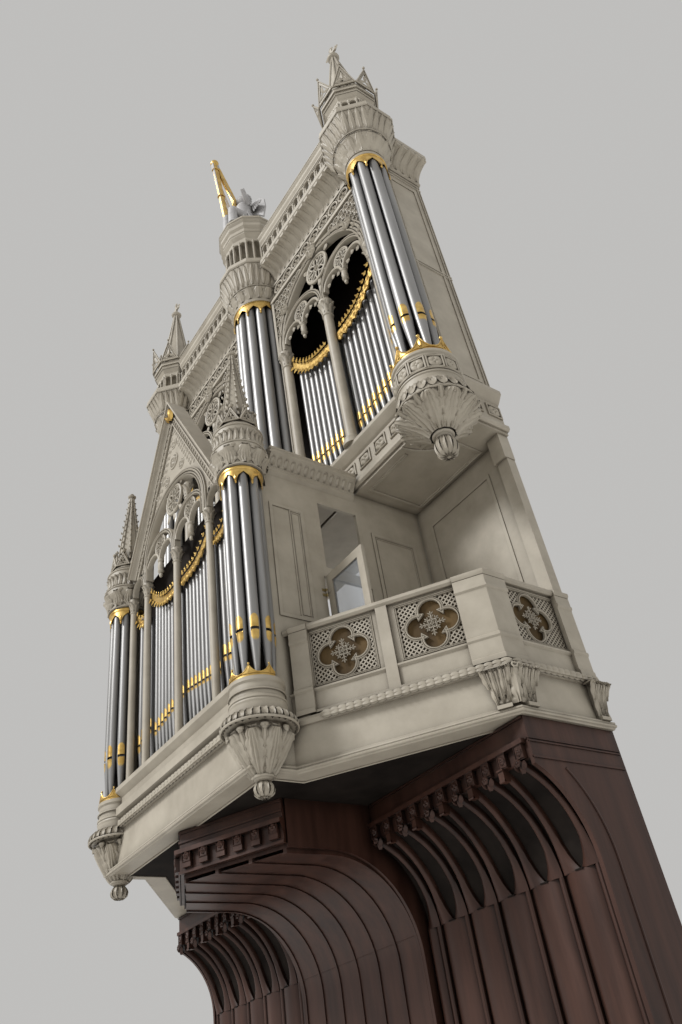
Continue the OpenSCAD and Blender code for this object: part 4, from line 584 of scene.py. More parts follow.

# Near-black boards behind the carved spandrels and the pierced band, painted shade in the voids behind the openwork
boards = {"y": -1.185, "r": 1.31, "outer": 1.33, "inner": 1.45, "top": 1.49, "steps": 40}
rows = []
for i in range(boards["steps"] + 1):
    a = math.radians(4 + 172 * i / boards["steps"])
    sideways = boards["outer"] if math.cos(a) > 0 else boards["inner"]
    far = min(sideways / max(abs(math.cos(a)), 1e-6), boards["top"] / math.sin(a))
    rows.append([(bayX + r * math.cos(a), boards["y"], crownZ + r * math.sin(a)) for r in (boards["r"], far)])
bandShadeStrip = block(0.62, -1.20, frieze + 0.05, 3.17, -1.19, frieze + 0.40)
piece("spandrelBoards", twoSided(joined([grid(rows), bandShadeStrip])), "dark_timber")

# Pierced band over the arches
band = {"from": 0.62, "to": 3.17, "count": 8, "y": -1.235, "railFrom": 0.61, "railTo": 3.174,
        "big": (0.235, 0, 0.135), "low": (0.13, 0, 0.07), "high": (0.34, 180, 0.055)}
pitch = (band["to"] - band["from"]) / band["count"]
spots = []
for steps, (up, lean, size) in (([k + 0.5 for k in range(band["count"])], band["big"]),
                                (range(1, band["count"]), band["low"]), (range(1, band["count"]), band["high"])):
    spots += [at(band["from"] + k * pitch, band["y"], frieze + up, lean=lean, size=size) for k in steps]
repeat("bandScrolls", scrollUnit(1.0, 0.17), bothSides(spots), "paint")
railing = [block(band["railFrom"], -1.26, frieze, band["railTo"], -1.2, frieze + 0.05),
           block(band["railFrom"], -1.26, frieze + 0.40, band["railTo"], -1.2, level["cornice"] - 0.001),
           sweepFace([(band["railFrom"], frieze + 0.02), (band["railTo"], frieze + 0.02)],
                     rolls([(-0.05, 0.018, 0.03), (-0.005, 0.022, 0.04)]), -1.26)]
piece("bandRails", twoSided(joined(railing)), "paint", stands=("main_frieze",))
repeat("bandBosses", rosette(8, 1.0, 0.3), bothSides([at(bayX, -1.275, frieze + 0.02, size=0.15)]), "paint")
print("pierced band made")

# Leaf capitals of all the columns: two rows of leaves, for a column of radius 1
capital = {"main": 0.085, "front": 0.052, "frontY": -3.09, "frontX": (0.0, 0.975, 1.48),
           "rows": (([(1.0, -4.0), (1.12, -3.0), (1.3, -2.3), (1.62, -1.75), (1.72, -1.9)], 0.95, 0.13, 0),
                    ([(1.05, -3.0), (1.2, -2.1), (1.45, -1.25), (1.85, -0.85), (1.95, -1.05)], 1.0, 0.15, 22.5))}
unit = joined([moved(leafOn(line, width, lift, rows=9, cols=7), at(0, 0, 0, turn=k * 45 + start))
               for line, width, lift, start in capital["rows"] for k in range(8)])
columns = [at(x, columnY, spring, size=capital["main"]) for x in (bayX - bayHalf, bayX, bayX + bayHalf)]
columns += [at(x, capital["frontY"], level["frontSpring"], size=capital["front"]) for x in capital["frontX"]]
repeat("capitals", unit, bothSidesOnce(columns), "paint")
print("capitals made")

# Gold mouths of the pipes, for a pipe of radius 1 whose foot ends at z = 0
mouthLook = {"spread": 44, "r": 1.02, "leafFoot": 0.66, "leaf": 2.5, "footTop": 0.1, "foot": -2.0, "hollow": 0.75}


def mouthSheet(low, reach, bow, lip):
    rows = []
    for i in range(9):
        t = i / 8
        row = []
        for k in range(9):
            u = k / 4 - 1
            a = math.radians(u * mouthLook["spread"])
            z = low + (reach + bow * abs(u) ** 2.2) * t
            r = mouthLook["r"] * (1 - 0.09 * max(0, -z)) + (lip if t < 0.08 else 0)
            row.append((r * math.sin(a), -r * math.cos(a), z))
        rows.append(row)
    return grid(rows)


def mouth():
    s = mouthLook
    lip = [(-0.66, -0.76, 0.02), (0.66, -0.76, 0.02), (0.66, -0.76, 0.12), (-0.66, -0.76, 0.12)]
    return joined([mouthSheet(s["leafFoot"], s["leaf"], -s["hollow"], 0.0),
                   mouthSheet(s["footTop"], s["foot"], s["hollow"], 0.03),
                   block(-0.7, -0.86, 0.0, 0.7, -0.6, 0.1), (lip, [(0, 1, 2, 3)])])


# Rows of flat pipes; a row's swag is the hanging band before it: start, run, high end and low end
pipeRows = (
    {"from": 0.785, "to": 1.97, "y": -1.04, "sill": level["mainSill"], "count": 9, "feet": (0.62, 0.48),
     "swag": (0.794, 1.131, 12.548, 11.95)},
    {"from": 3.215, "to": 2.03, "y": -1.04, "sill": level["mainSill"], "count": 9, "feet": (0.62, 0.48),
     "swag": (3.206, -1.131, 12.548, 11.95)},
    {"from": 0.945, "to": 0.025, "y": -2.96, "sill": level["frontSill"], "count": 9, "feet": (0.52, 0.66),
     "swag": (0.920, -0.878, 8.22, 7.87)},
    {"from": 1.47, "to": 0.995, "y": -2.96, "sill": level["frontSill"], "count": 4, "feet": (0.52, 0.62),
     "swag": (1.4375, -0.42, 8.14, 7.91)},
)
towerPipes = {
    "end": {"centre": endTower, "ring": 0.241, "r": 0.088, "z": level["mainPipes"] + 0.85, "turns": (75, -150),
            "count": 6},
    "front": {"centre": frontTower, "ring": 0.189, "r": 0.065, "z": level["frontPipes"] + 0.56, "turns": (60, -150),
              "count": 6},
    "mid": {"centre": midTower, "ring": 0.391, "r": 0.098, "z": level["mainPipes"] + 0.85, "turns": (0, -180),
            "count": 7},
}


def pipesOf(s):
    pitch = (s["to"] - s["from"]) / s["count"]
    rise = (s["feet"][1] - s["feet"][0]) / (s["count"] - 1)
    return [(s["from"] + (i + 0.5) * pitch, s["feet"][0] + rise * i, abs(pitch) / 2 - 0.003) for i in range(s["count"])]


def ringPipes(s):
    out = []
    for i in range(s["count"]):
        a = s["turns"][0] + (s["turns"][1] - s["turns"][0]) * i / (s["count"] - 1)
        out.append(at(s["centre"][0] + s["ring"] * math.cos(math.radians(a)),
                      s["centre"][1] + s["ring"] * math.sin(math.radians(a)), s["z"], turn=a + 90, size=s["r"]))
    return out


flatMouths = [at(x, s["y"], s["sill"] + foot, size=r) for s in pipeRows for x, foot, r in pipesOf(s)]
sideMouths = flatMouths + ringPipes(towerPipes["end"]) + ringPipes(towerPipes["front"])
repeat("pipeMouths", mouth(), bothSides(sideMouths) + ringPipes(towerPipes["mid"]), "gilding")
print("mouths made")

# Rings of leaves round the towers: on the caps' necks, the corbels, the rims and the knobs
# A line's points are (out, up), and up counts from the ring's own "up" where it has one
corbelZ, frontCorbelZ = level["corbel"], level["frontCorbel"]
dish = [(0.135, -0.665), (0.22, -0.57), (0.33, -0.49), (0.43, -0.415), (0.495, -0.37), (0.53, -0.335), (0.545, -0.36)]
cup = [(0.09, -0.695), (0.125, -0.655), (0.185, -0.56), (0.245, -0.44), (0.29, -0.34), (0.315, -0.295), (0.335, -0.31)]
knobRib = {"lobes": 1, "cols": 5, "blunt": 0.25}
leafRings = {
    "endCapLeaves": {
        "centre": endTower, "count": 16, "width": 0.17, "lift": 0.03,
        "line": [(0.345, 14.53), (0.36, 14.62), (0.415, 14.70), (0.47, 14.82), (0.515, 14.87), (0.53, 14.83)]},
    "midCapLeaves": {
        "centre": midTower, "count": 18, "width": 0.19, "lift": 0.03,
        "line": [(0.502, 14.655), (0.515, 14.70), (0.545, 14.76), (0.585, 14.85), (0.615, 14.89), (0.625, 14.86)]},
    "dishLeaves": {"centre": endTower, "up": corbelZ, "count": 10, "width": 0.36, "lift": 0.075, "line": dish,
                   "form": {"lobes": 5, "rows": 21, "cols": 15}},
    "dishLeavesBetween": {"centre": endTower, "up": corbelZ, "count": 10, "start": 18, "width": 0.15, "lift": 0.05,
                          "line": dish[1:], "form": {"rows": 15}},
    "dishRimLeaves": {"centre": endTower, "up": corbelZ, "count": 24, "width": 0.14, "lift": 0.03,
                      "line": [(0.483, -0.115), (0.50, -0.20), (0.525, -0.25), (0.53, -0.31)], "form": {"lobes": 4}},
    "endKnobRibs": {"centre": endTower, "up": corbelZ, "count": 12, "width": 0.07, "lift": 0.022, "form": knobRib,
                    "line": [(0.10, -0.76), (0.13, -0.81), (0.145, -0.87), (0.145, -0.92), (0.13, -0.98),
                             (0.09, -1.03), (0.03, -1.05)]},
    "cupLeaves": {"centre": frontTower, "up": frontCorbelZ, "count": 8, "width": 0.25, "lift": 0.06, "line": cup,
                  "form": {"lobes": 5, "rows": 21, "cols": 13}},
    "cupLeavesBetween": {"centre": frontTower, "up": frontCorbelZ, "count": 8, "start": 22.5, "width": 0.11,
                         "lift": 0.045, "line": cup[1:], "form": {"rows": 15}},
    "rimLeaves": {"centre": frontTower, "up": frontCorbelZ, "count": 32, "width": 0.078, "lift": 0.022,
                  "line": [(0.30, -0.115), (0.345, -0.125), (0.395, -0.175), (0.405, -0.22), (0.38, -0.27)]},
    "frontKnobRibs": {"centre": frontTower, "up": frontCorbelZ, "count": 10, "width": 0.055, "lift": 0.018,
                      "form": knobRib, "line": [(0.062, -0.77), (0.09, -0.805), (0.105, -0.84), (0.095, -0.885),
                                                (0.06, -0.915), (0.02, -0.922)]},
    "frontBellLeaves": {
        "centre": frontTower, "count": 10, "width": 0.20, "lift": 0.045, "form": {"lobes": 4, "rows": 15, "cols": 11},
        "line": [(0.29, 8.335), (0.286, 8.40), (0.30, 8.47), (0.335, 8.545), (0.375, 8.60), (0.385, 8.58)]},
    "frontRingLeaves": {
        "centre": frontTower, "count": 26, "width": 0.08, "lift": 0.026, "form": {"lobes": 4},
        "line": [(0.352, 8.675), (0.318, 8.72), (0.303, 8.80), (0.31, 8.88), (0.33, 8.92)]},
    "endHollowLeaves": {
        "centre": endTower, "count": 8, "across": (-0.177, -0.059, 0.059, 0.177), "width": 0.135, "lift": 0.03,
        "form": {"lobes": 4},
        "line": [(0.466, 14.955), (0.512, 15.07), (0.555, 15.18), (0.60, 15.29), (0.638, 15.385), (0.662, 15.39)]},
    "midHollowLeaves": {
        "centre": midTower, "count": 12, "across": (-0.113, 0.0, 0.113), "width": 0.115, "lift": 0.03,
        "form": {"lobes": 4},
        "line": [(0.584, 14.955), (0.63, 15.12), (0.675, 15.30), (0.715, 15.455), (0.738, 15.465)]},
}
for name, s in leafRings.items():
    line = [(out, up + s.get("up", 0.0)) for out, up in s["line"]]
    places = roundTower(s["centre"], s["count"], start=s.get("start", 0.0), across=s.get("across", (0.0,)))
    repeat(name, leafOn(line, s["width"], s["lift"], **s.get("form", {})), places, "paint")

# Curled tips under the corbels' and caps' rims
curl = joined([moved(ball(0.5, 10), at(0, 0, 0, size=(1.25, 0.9, 0.8))),
               moved(petal(0.9, 0.9, 0.35, curl=0.3), at(0, 0.1, 0.2, lean=180)),
               moved(petal(0.7, 0.6, 0.25, curl=0.3), at(-0.3, 0.0, 0.15, lean=150)),
               moved(petal(0.7, 0.6, 0.25, curl=0.3), at(0.3, 0.0, 0.15, lean=210))])
repeat("dishCurls", curl, roundTower(endTower, 10, corbelZ - 0.375, 0.50, size=0.10), "paint")
repeat("cupCurls", curl, roundTower(frontTower, 8, frontCorbelZ - 0.305, 0.32, start=22.5, size=0.075), "paint")
repeat("frontBellCurls", curl, roundTower(frontTower, 8, 8.60, 0.352, size=(0.085, 0.07, 0.075)), "paint")


# Round beads, each (height, radius, thickness)
def beadRings(centre, rows):
    return [moved(ringFlat(r, t), at(*centre, z)) for z, r, t in rows]


piece("corbelBeads", twoSided(joined(
    beadRings(endTower, ((corbelZ - 0.335, 0.527, 0.017), (corbelZ - 0.70, 0.115, 0.03), (8.97, 0.452, 0.012),
                         (9.22, 0.452, 0.01))) +
    beadRings(frontTower, ((frontCorbelZ - 0.245, 0.395, 0.014), (frontCorbelZ - 0.725, 0.10, 0.018),
                           (frontCorbelZ + 0.10, 0.30, 0.009))))), "paint")
piece("capBeads", twoSided(joined(
    beadRings(frontTower, ((8.665, 0.352, 0.016), (8.325, 0.297, 0.010), (8.985, 0.325, 0.014), (8.93, 0.31, 0.010),
                           (9.06, 0.268, 0.010))) +
    beadRings(endTower, ((14.53, 0.348, 0.012), (14.915, 0.515, 0.014))))), "paint")
piece("midCapBeads", joined(beadRings(midTower, ((14.60, 0.505, 0.014), (14.925, 0.60, 0.014)))), "paint")

# Carved panels round the end towers' drums and along the main case's base
drum = {"count": 12, "z": 8.985, "r": 0.446, "size": (1.15, 1, 1.15)}
base = {"z": 8.99, "size": (1.35, 1.4, 1.1), "pitch": 0.36, "frontX": 0.72, "front": 7, "sideX": 3.744,
        "sideY": -0.15, "side": 2}
panel = joined([sweepFace([(-0.09, 0.0), (0.09, 0.0), (0.09, 0.18), (-0.09, 0.18)], rolls([(0.0, 0.012, 0.014)]), 0,
                          closed=True), moved(rosette(4, 0.085, 0.02, width=1.1), at(0, 0, 0.09, lean=45))])
places = [at(base["frontX"] + k * base["pitch"], mainFront - 0.004, base["z"], size=base["size"])
          for k in range(base["front"])]
places += [at(base["sideX"], base["sideY"] - k * base["pitch"], base["z"], turn=90, size=base["size"])
           for k in range(base["side"])]
places = bothSides(places) + roundTower(endTower, drum["count"], drum["z"], drum["r"], size=drum["size"])
repeat("leafPanels", panel, places, "paint")
print("leaves, corbels and caps made")


def polygonRing(centre, sides, profile):
    c = 1 / math.cos(math.pi / sides)
    turns = [2 * math.pi * (k + 0.5) / sides for k in range(sides)]
    rows = [[(centre[0] + c * r * math.cos(a), centre[1] + c * r * math.sin(a), z) for a in turns] for r, z in profile]
    return grid(rows, closedAcross=True)


# Lanterns: shafts between the openings, hood rolls and rim mouldings; radii are to the flats
lanterns = {
    "end": {"centre": endTower, "sides": 8, "r": 0.4157, "z": 15.65, "tall": 1.0, "hoodZ": 16.06, "apart": 0.072,
            "rims": [[(0.650, 15.40), (0.664, 15.42), (0.664, 15.44), (0.650, 15.46)],
                     [(0.42, 15.56), (0.445, 15.57), (0.445, 15.60), (0.42, 15.63)],
                     [(0.48, 16.34), (0.494, 16.36), (0.48, 16.38)]]},
    "mid": {"centre": midTower, "sides": 12, "r": 0.5602, "z": 15.73, "tall": 0.78 / 0.51, "hoodZ": 16.41,
            "apart": 0.074,
            "rims": [[(0.733, 15.49), (0.747, 15.51), (0.733, 15.53)],
                     [(0.565, 15.635), (0.595, 15.64), (0.595, 15.68), (0.565, 15.71)],
                     [(0.62, 16.73), (0.635, 16.75), (0.62, 16.77)], [(0.68, 17.15), (0.694, 17.165), (0.68, 17.18)]]},
}
shaft = lathe([(0.001, 0), (0.026, 0), (0.026, 0.03), (0.016, 0.045), (0.016, 0.42), (0.02, 0.425), (0.017, 0.435),
               (0.026, 0.48), (0.026, 0.5), (0.001, 0.5)], 10)
hood = archOn(0, 0, 0.062, 0, 0, rolls([(0.0, 0.014, 0.02)], back=-0.01), 10)
shafts, hoods = [], []
for name, s in lanterns.items():
    shafts += roundTower(s["centre"], s["sides"], s["z"], s["r"] + 0.006,
                         across=[u * s["apart"] for u in (-2, 0, 2)], size=(1, 1, s["tall"]))
    hoods += roundTower(s["centre"], s["sides"], s["hoodZ"], s["r"] + 0.002, across=(-s["apart"], s["apart"]))
    shape = joined([polygonRing(s["centre"], s["sides"], q) for q in s["rims"]])
    piece(name + "Rims", twoSided(shape) if s["centre"][0] else shape, "paint")
repeat("lanternShafts", shaft, shafts, "paint")
repeat("lanternHoods", hood, hoods, "paint")
print("lanterns made")


# Spires: ribs with crockets, gable hoods and finials
def spireDress(s):
    r, h = s["r"], s["h"]
    foot, tip = 1.01 * r, 0.13 * r
    bead = 0.05 * r + 0.006
    parts = []
    for k in range(8):
        a = math.radians(k * 45 + 22.5)
        parts.append(tube([polar(foot, a, 0.04), polar(tip, a, h)], 0.045 * r + 0.006, 6))
        n = max(6, int(h / (0.42 * r + 0.04)))
        for i in range(1, n if s["crockets"] else 1):
            t = i / n
            out, up = foot + (tip - foot) * t, h * t
            size = 0.22 * r * (1 - 0.55 * t)
            path = [polar(out + u * size, a, up + v * size) for u, v in ((0, 0), (1, 0.3), (1.1, 1), (0.7, 0.9))]
            parts.append(tube(path, [0.3 * size, 0.42 * size, 0.36 * size, 0.1 * size], 5))
    w, t = s["hoodWide"], s["hoodTall"]
    hoodShape = joined([sweepFace([(-w / 2, 0), (0, t), (w / 2, 0)], rolls([(0.0, bead, bead)], back=-0.02), 0),
                        ringOn(0, t * 0.38, t * 0.16, 0, roll(0.028 * r + 0.003), 12),
                        moved(rosette(4, 0.13 * r + 0.01, 0.02), at(0, 0, t + 0.05 * r))])
    parts += [moved(hoodShape, at(0, 0, 0.04, turn=k * 45) @ at(0, -r * 1.12, 0)) for k in range(8)]
    knob = [(0.13, -0.10), (0.30, 0), (0.34, 0.10), (0.24, 0.2), (0.12, 0.26), (0.16, 0.34), (0.06, 0.42)]
    knob = [(0.001, -0.12 * r)] + [(r * u, r * v) for u, v in knob] + [(0.001, 0.5 * r)]
    parts.append(moved(lathe(knob, 12), at(0, 0, h)))
    return joined(parts)


endSpire = {"r": 0.38, "h": 2.28, "hoodWide": 0.30, "hoodTall": 0.40, "crockets": False}
frontSpire = {"r": 0.205, "h": 1.56, "hoodWide": 0.15, "hoodTall": 0.26, "crockets": True}
piece("endSpireDress", twoSided(moved(spireDress(endSpire), at(*endTower, level["lanternTop"]))), "paint")
piece("frontSpireDress", twoSided(moved(spireDress(frontSpire), at(*frontTower, level["frontSpire"]))), "paint")
crossEnds = [at(endTower[0] + x, endTower[1], level["lanternTop"] + endSpire["h"] + z, lean=lean, size=0.07)
             for x, z, lean in ((-0.14, 0.262, -90), (0.14, 0.262, 90), (0, 0.44, 0))]
repeat("crossLeaves", rosette(4, 1.0, 0.3), bothSides(crossEnds), "paint")
print("spires made")

# Gilding: balls on the crowns, drops and rings of the valances; "most" is how far back they run
crownRings = ({"centre": endTower, "r": 0.414, "z": level["mainPipes"], "high": 0.28, "count": 8, "most": 0.24},
              {"centre": midTower, "r": 0.554, "z": level["mainPipes"], "high": 0.28, "count": 12, "most": -0.05},
              {"centre": frontTower, "r": 0.281, "z": level["frontPipes"], "high": 0.14, "count": 8, "most": 0.08})
valances = ({"centre": endTower, "r": 0.343, "z": 14.09, "high": 0.33, "count": 8, "most": 1.0},
            {"centre": midTower, "r": 0.503, "z": 14.22, "high": 0.33, "count": 12, "most": 0.1},
            {"centre": frontTower, "r": 0.267, "z": 8.07, "high": 0.24, "count": 8, "most": 0.1})


def ringSpots(s, z, size):
    out = []
    for k in range(s["count"]):
        a = 2 * math.pi * k / s["count"]
        x, y = s["r"] * math.cos(a), s["r"] * math.sin(a)
        if y < s["most"]:
            out.append(at(s["centre"][0] + x, s["centre"][1] + y, z, turn=math.degrees(a) + 90, size=size))
    return out


tips = [m for s in crownRings for m in ringSpots(s, s["z"] + s["high"], s["high"] / 0.28)]
drops = [m for s in valances for m in ringSpots(s, s["z"], s["high"] / 0.33)]
rings = []
for s in valances:
    profile = [(s["r"] + 0.002, -0.05), (s["r"] + 0.014, -0.04), (s["r"] + 0.014, -0.015), (s["r"] + 0.002, -0.005)]
    rings.append(moved(lathe(profile, 48), at(*s["centre"], s["z"] + s["high"])))
tip = joined([moved(ball(0.026, 10), at(0, 0, 0.02)), moved(petal(0.15, 0.05, 0.012), at(0, -0.008, -0.17)),
              moved(ringOn(0, 0, 0.028, 0, roll(0.006, 6), 12), at(0, -0.012, -0.2))])
drop = joined([lathe([(0.001, -0.055), (0.014, -0.04), (0.02, -0.02), (0.01, 0.0), (0.016, 0.012), (0.001, 0.02)], 10),
               moved(petal(0.12, 0.05, 0.01), at(0, -0.012, 0.02))])
repeat("crownTips", tip, bothSidesOnce(tips), "gilding")
repeat("valanceDrops", drop, bothSidesOnce(drops), "gilding")
piece("valanceRings", twoSided(joined(rings)), "gilding")


# Leafy crest and drops of the hanging bands; a band's run is negative where it goes towards the middle
swags = (
    {"x": 0.80, "run": 1.02, "high": 12.548, "low": 11.95, "deep": 0.15, "y": -1.225, "count": 11, "size": 0.085},
    {"x": 3.20, "run": -1.02, "high": 12.548, "low": 11.95, "deep": 0.15, "y": -1.225, "count": 11, "size": 0.085},
    {"x": 0.92, "run": -0.82, "high": 8.22, "low": 7.87, "deep": 0.10, "y": -3.085, "count": 10, "size": 0.06},
    {"x": 1.42, "run": -0.38, "high": 8.14, "low": 7.91, "deep": 0.09, "y": -3.085, "count": 5, "size": 0.055},
)


def swagSag(high, low):
    return 0.35 * abs(high - low) + 0.04


def swagTop(f, high, low):
    return high + (low - high) * f - swagSag(high, low) * math.sin(math.pi * f) * (1 - 0.4 * f)


def swagSpots(s):
    out = []
    high, low = s["high"], s["low"]
    for i in range(s["count"]):
        f = (i + 0.5) / s["count"]
        fall = (low - high) - swagSag(high, low) * math.pi * math.cos(math.pi * f)
        slope = math.degrees(math.atan2(fall, abs(s["run"])))
        lean = -slope if s["run"] > 0 else slope
        out += [at(s["x"] + f * s["run"], s["y"], swagTop(f, high, low) - down, lean=lean + turned, size=s["size"])
                for down, turned in ((0.0, 0), (s["deep"], 180))]
    return out


sideLeaf = petal(0.7, 0.4, 0.15)
crest = joined([petal(1.0, 0.55, 0.18, curl=0.15), moved(sideLeaf, at(0, 0, 0, lean=48)),
                moved(sideLeaf, at(0, 0, 0, lean=-48)), moved(ball(0.14, 8), at(0, -0.1, 1.0))])
repeat("swagLeaves", crest, bothSides([m for s in swags for m in swagSpots(s)]), "gilding")
print("gilding made")

# Balustrade: panels with a fine lattice round a ringed quatrefoil
slant = math.degrees(math.atan2(1.33, 1.92))
railStart, railCorner = (1.7630, -2.6166), (3.655, -1.3060)
lattice = {"high": 0.357, "stile": 0.075, "rail": 0.035, "pitch": 0.058, "bar": 0.0075, "lobe": 0.132, "out": 0.163,
           "middle": 0.13, "z": 5.7375, "slanted": ((0.2211, 1.1055), (1.2361, 2.1388)), "sideY": -0.6645,
           "sideWidth": 1.0644}
panels = [(at(*railStart, lattice["z"], turn=slant) @ at((a + b) / 2, 0, 0), b - a) for a, b in lattice["slanted"]]
panels.append((at(railCorner[0], lattice["sideY"], lattice["z"], turn=90), lattice["sideWidth"]))


# Bars of one direction in a field of half width w and half height h, left out inside the discs
def latticeBars(s, w, h, discs):
    parts = []
    reach = int((w + h) / lattice["pitch"]) + 1
    for i in range(-reach, reach + 1):
        c = (i + 0.5) * lattice["pitch"]
        bounds = sorted(((-w - c) * s, (w - c) * s))
        lo, hi = max(-h, bounds[0]), min(h, bounds[1])
        if hi - lo < 0.01:
            continue
        spans = [(lo, hi)]
        for dx, dz, r in discs:
            b = (s * (c - dx) - dz) / 2
            q = b * b - ((c - dx) ** 2 + dz * dz - r * r) / 2
            if q > 0:
                u, v = -b - math.sqrt(q), -b + math.sqrt(q)
                spans = [t for a, e in spans for t in ((a, min(e, u)), (max(a, v), e)) if t[1] - t[0] > 0.004]
        for a, b in spans:
            k = (b - a) / math.sqrt(2) + 0.003
            bar = block(-lattice["bar"], -0.011 - 0.001 * s, -k, lattice["bar"], 0.008, k)
            parts.append(moved(bar, at(c + s * (a + b) / 2, 0, (a + b) / 2, lean=s * 45)))
    return parts


# The leafy arm of the flower in the middle of a panel
def flowerArm(reach):
    side = petal(0.04, 0.017, 0.009, curl=0.01)
    return joined([tube([(0, -0.012, 0.05), (0, -0.016, reach)], [0.008, 0.005], 6),
                   moved(petal(0.045, 0.02, 0.01), at(0, -0.012, reach - 0.02))] +
                  [moved(side, at(0, -0.012, reach - back, lean=lean)) for back in (0.02, 0.055) for lean in (-52, 52)])


def latticePanel(width):
    s = lattice
    half, w, h, high = width / 2, width / 2 - s["stile"], s["high"] - s["rail"], s["high"]
    lobes = [(s["out"] * math.cos(a), s["out"] * math.sin(a)) for a in (k * math.pi / 2 for k in range(4))]
    discs = [(x, z, s["lobe"] + 0.016) for x, z in lobes] + [(0, 0, s["middle"])]
    parts = latticeBars(1, w, h, discs) + latticeBars(-1, w, h, discs)
    loop = [p for k, (x, z) in enumerate(lobes) for p in arcLine(x, z, s["lobe"], -107 + 90 * k, 107 + 90 * k, 18)]
    parts += [sweepFace(loop, rolls([(-0.019, 0.008, 0.014), (0.0, 0.011, 0.02)], back=-0.014), -0.008, closed=True),
              sweepFace([(-w, -h), (w, -h), (w, h), (-w, h)],
                        rolls([(-0.006, 0.008, 0.012), (0.012, 0.005, 0.006)], back=-0.012), -0.02, closed=True)]
    for x0, x1, z0, z1 in ((-half, -w, -high, high), (w, half, -high, high), (-w, w, -high, -h), (-w, w, h, high)):
        parts.append(block(x0, -0.022, z0, x1, 0.012, z1))
    for k in range(4):
        a = math.radians(45 + 90 * k)
        parts.append(ringOn(0.034 * math.cos(a), 0.034 * math.sin(a), 0.024, -0.012, roll(0.0065, 6), 14))
        parts += [moved(flowerArm(0.126), at(0, 0, 0, lean=90 * k)),
                  moved(flowerArm(0.085), at(0, 0, 0, lean=90 * k + 45))]
    parts.append(moved(rosette(6, 0.026, 0.012), at(0, -0.018, 0)))
    return joined(parts)


piece("latticePanels", twoSided(joined([moved(latticePanel(w), m) for m, w in panels])), "paint",
      stands=("lattice_panels",))


def onRail(start, run):
    return start[0] + run, start[1] + run * math.tan(math.radians(slant))


across = 0.30 * math.cos(math.radians(slant))
sideX = railCorner[0]
pilasterLines = [[onRail(railCorner, -across), railCorner, (sideX, -1.03)], [(sideX, -0.24), (sideX, -0.001)],
                 [onRail(railStart, 0.06), onRail(railStart, 0.24)]]
pilaster = {"body": [(0.03, 5.10), (0.097, 5.10), (0.097, 5.15), (0.085, 5.165), (0.085, 5.34), (0.10, 5.36),
                     (0.10, 5.385), (0.082, 5.405), (0.082, 5.93), (0.10, 5.95), (0.10, 5.975), (0.09, 5.99),
                     (0.09, 6.09), (0.03, 6.09)],
            "cap": [(0.06, 6.094), (0.092, 6.096), (0.108, 6.12), (0.108, 6.152), (0.09, 6.163), (0.07, 6.178),
                    (0.03, 6.183), (0.03, 6.17)],
            "foot": [(0.034, 5.10), (0.075, 5.10), (0.075, 5.125), (0.05, 5.14), (0.034, 5.14)]}
wraps = [sweepPlan(line, pilaster[part]) for line in pilasterLines for part in ("body", "cap")]
wraps.append(sweepPlan([railStart, railCorner, (sideX, 0)], pilaster["foot"]))
piece("balustradeMouldings", twoSided(joined(wraps)), "paint")


# Carved garland, brackets and rolls of the gallery's edge
def onLine(line, pitch):
    out = []
    for a, b in zip(line, line[1:]):
        n = max(1, int(math.dist(a, b) / pitch))
        turn = math.degrees(math.atan2(b[1] - a[1], b[0] - a[0]))
        steps = [(i + 0.5) / n for i in range(n)]
        out += [at(a[0] + (b[0] - a[0]) * f, a[1] + (b[1] - a[1]) * f, 0, turn=turn) for f in steps]
    return out


# Widens a leaf with height above z = 4.61
def fan(k):
    return Matrix(((1, 0, k, -4.61 * k), (0, 1, 0, 0), (0, 0, 1, 0), (0, 0, 0, 1)))


garland = {"pitch": 0.085, "gap": (1.45, 2.05), "front": -0.08, "z": 5.035, "turns": ((0, 90), (48, 82), (-48, 98))}
spray = joined([moved(petal(0.14, 0.085, 0.034), at(-0.035, -0.048, garland["z"], tilt=tilt) @ at(0, 0, 0, lean=lean))
                for tilt, lean in garland["turns"]])
places = [m for m in onLine(galleryLine, garland["pitch"])
          if not garland["gap"][0] < abs(m.translation.x) < garland["gap"][1] and m.translation.y < garland["front"]]
repeat("garlandLeaves", spray, places, "paint")
galleryRoll = [(0.04, 4.512), (0.06, 4.517), (0.066, 4.53), (0.058, 4.543), (0.05, 4.547), (0.055, 4.556),
               (0.052, 4.57), (0.04, 4.577)]
piece("galleryRolls", sweepPlan(galleryLine, galleryRoll), "paint")
leafCurve = [(0.035, 4.61), (0.05, 4.70), (0.062, 4.79), (0.085, 4.88), (0.125, 4.955), (0.155, 4.965), (0.16, 4.935)]
spiral = [0.012 * (1 + 0.35 * q) for q in range(7)]
scroll = sweepFace([(r * math.cos(1.1 * q), r * math.sin(1.1 * q)) for q, r in enumerate(spiral)], roll(0.011, 6), 0)
bracketRows = ((leafOn(leafCurve, 0.10, 0.035, lobes=4, rows=17), 1.6, 0.0, (-0.075, 0.0, 0.075)),
               (leafOn(leafCurve[1:], 0.09, 0.032), 1.8, -0.012, (-0.04, 0.04)),
               (leafOn(leafCurve[2:], 0.10, 0.03), 3.0, -0.012, (-0.085, 0.085)))
bracket = joined([moved(leaf, fan(x * wider) @ at(x, y, 0)) for leaf, wider, y, xs in bracketRows for x in xs] +
                 [moved(scroll, at(x, -0.14, 4.958)) for x in (-0.165, 0.165)] +
                 [block(-0.10, -0.075, 4.575, 0.10, 0.0, 4.612), block(-0.18, -0.13, 4.972, 0.18, -0.02, 4.988)])
corner = galleryLine[-2]
places = [at(corner[0], -0.135, 0, turn=90, size=(0.72, 1, 1)), at(corner[0], -1.21, 0, turn=90, size=(0.75, 1, 1)),
          at(*corner, 0, turn=slant) @ at(-0.13, 0, 0, size=(0.75, 1, 1))]
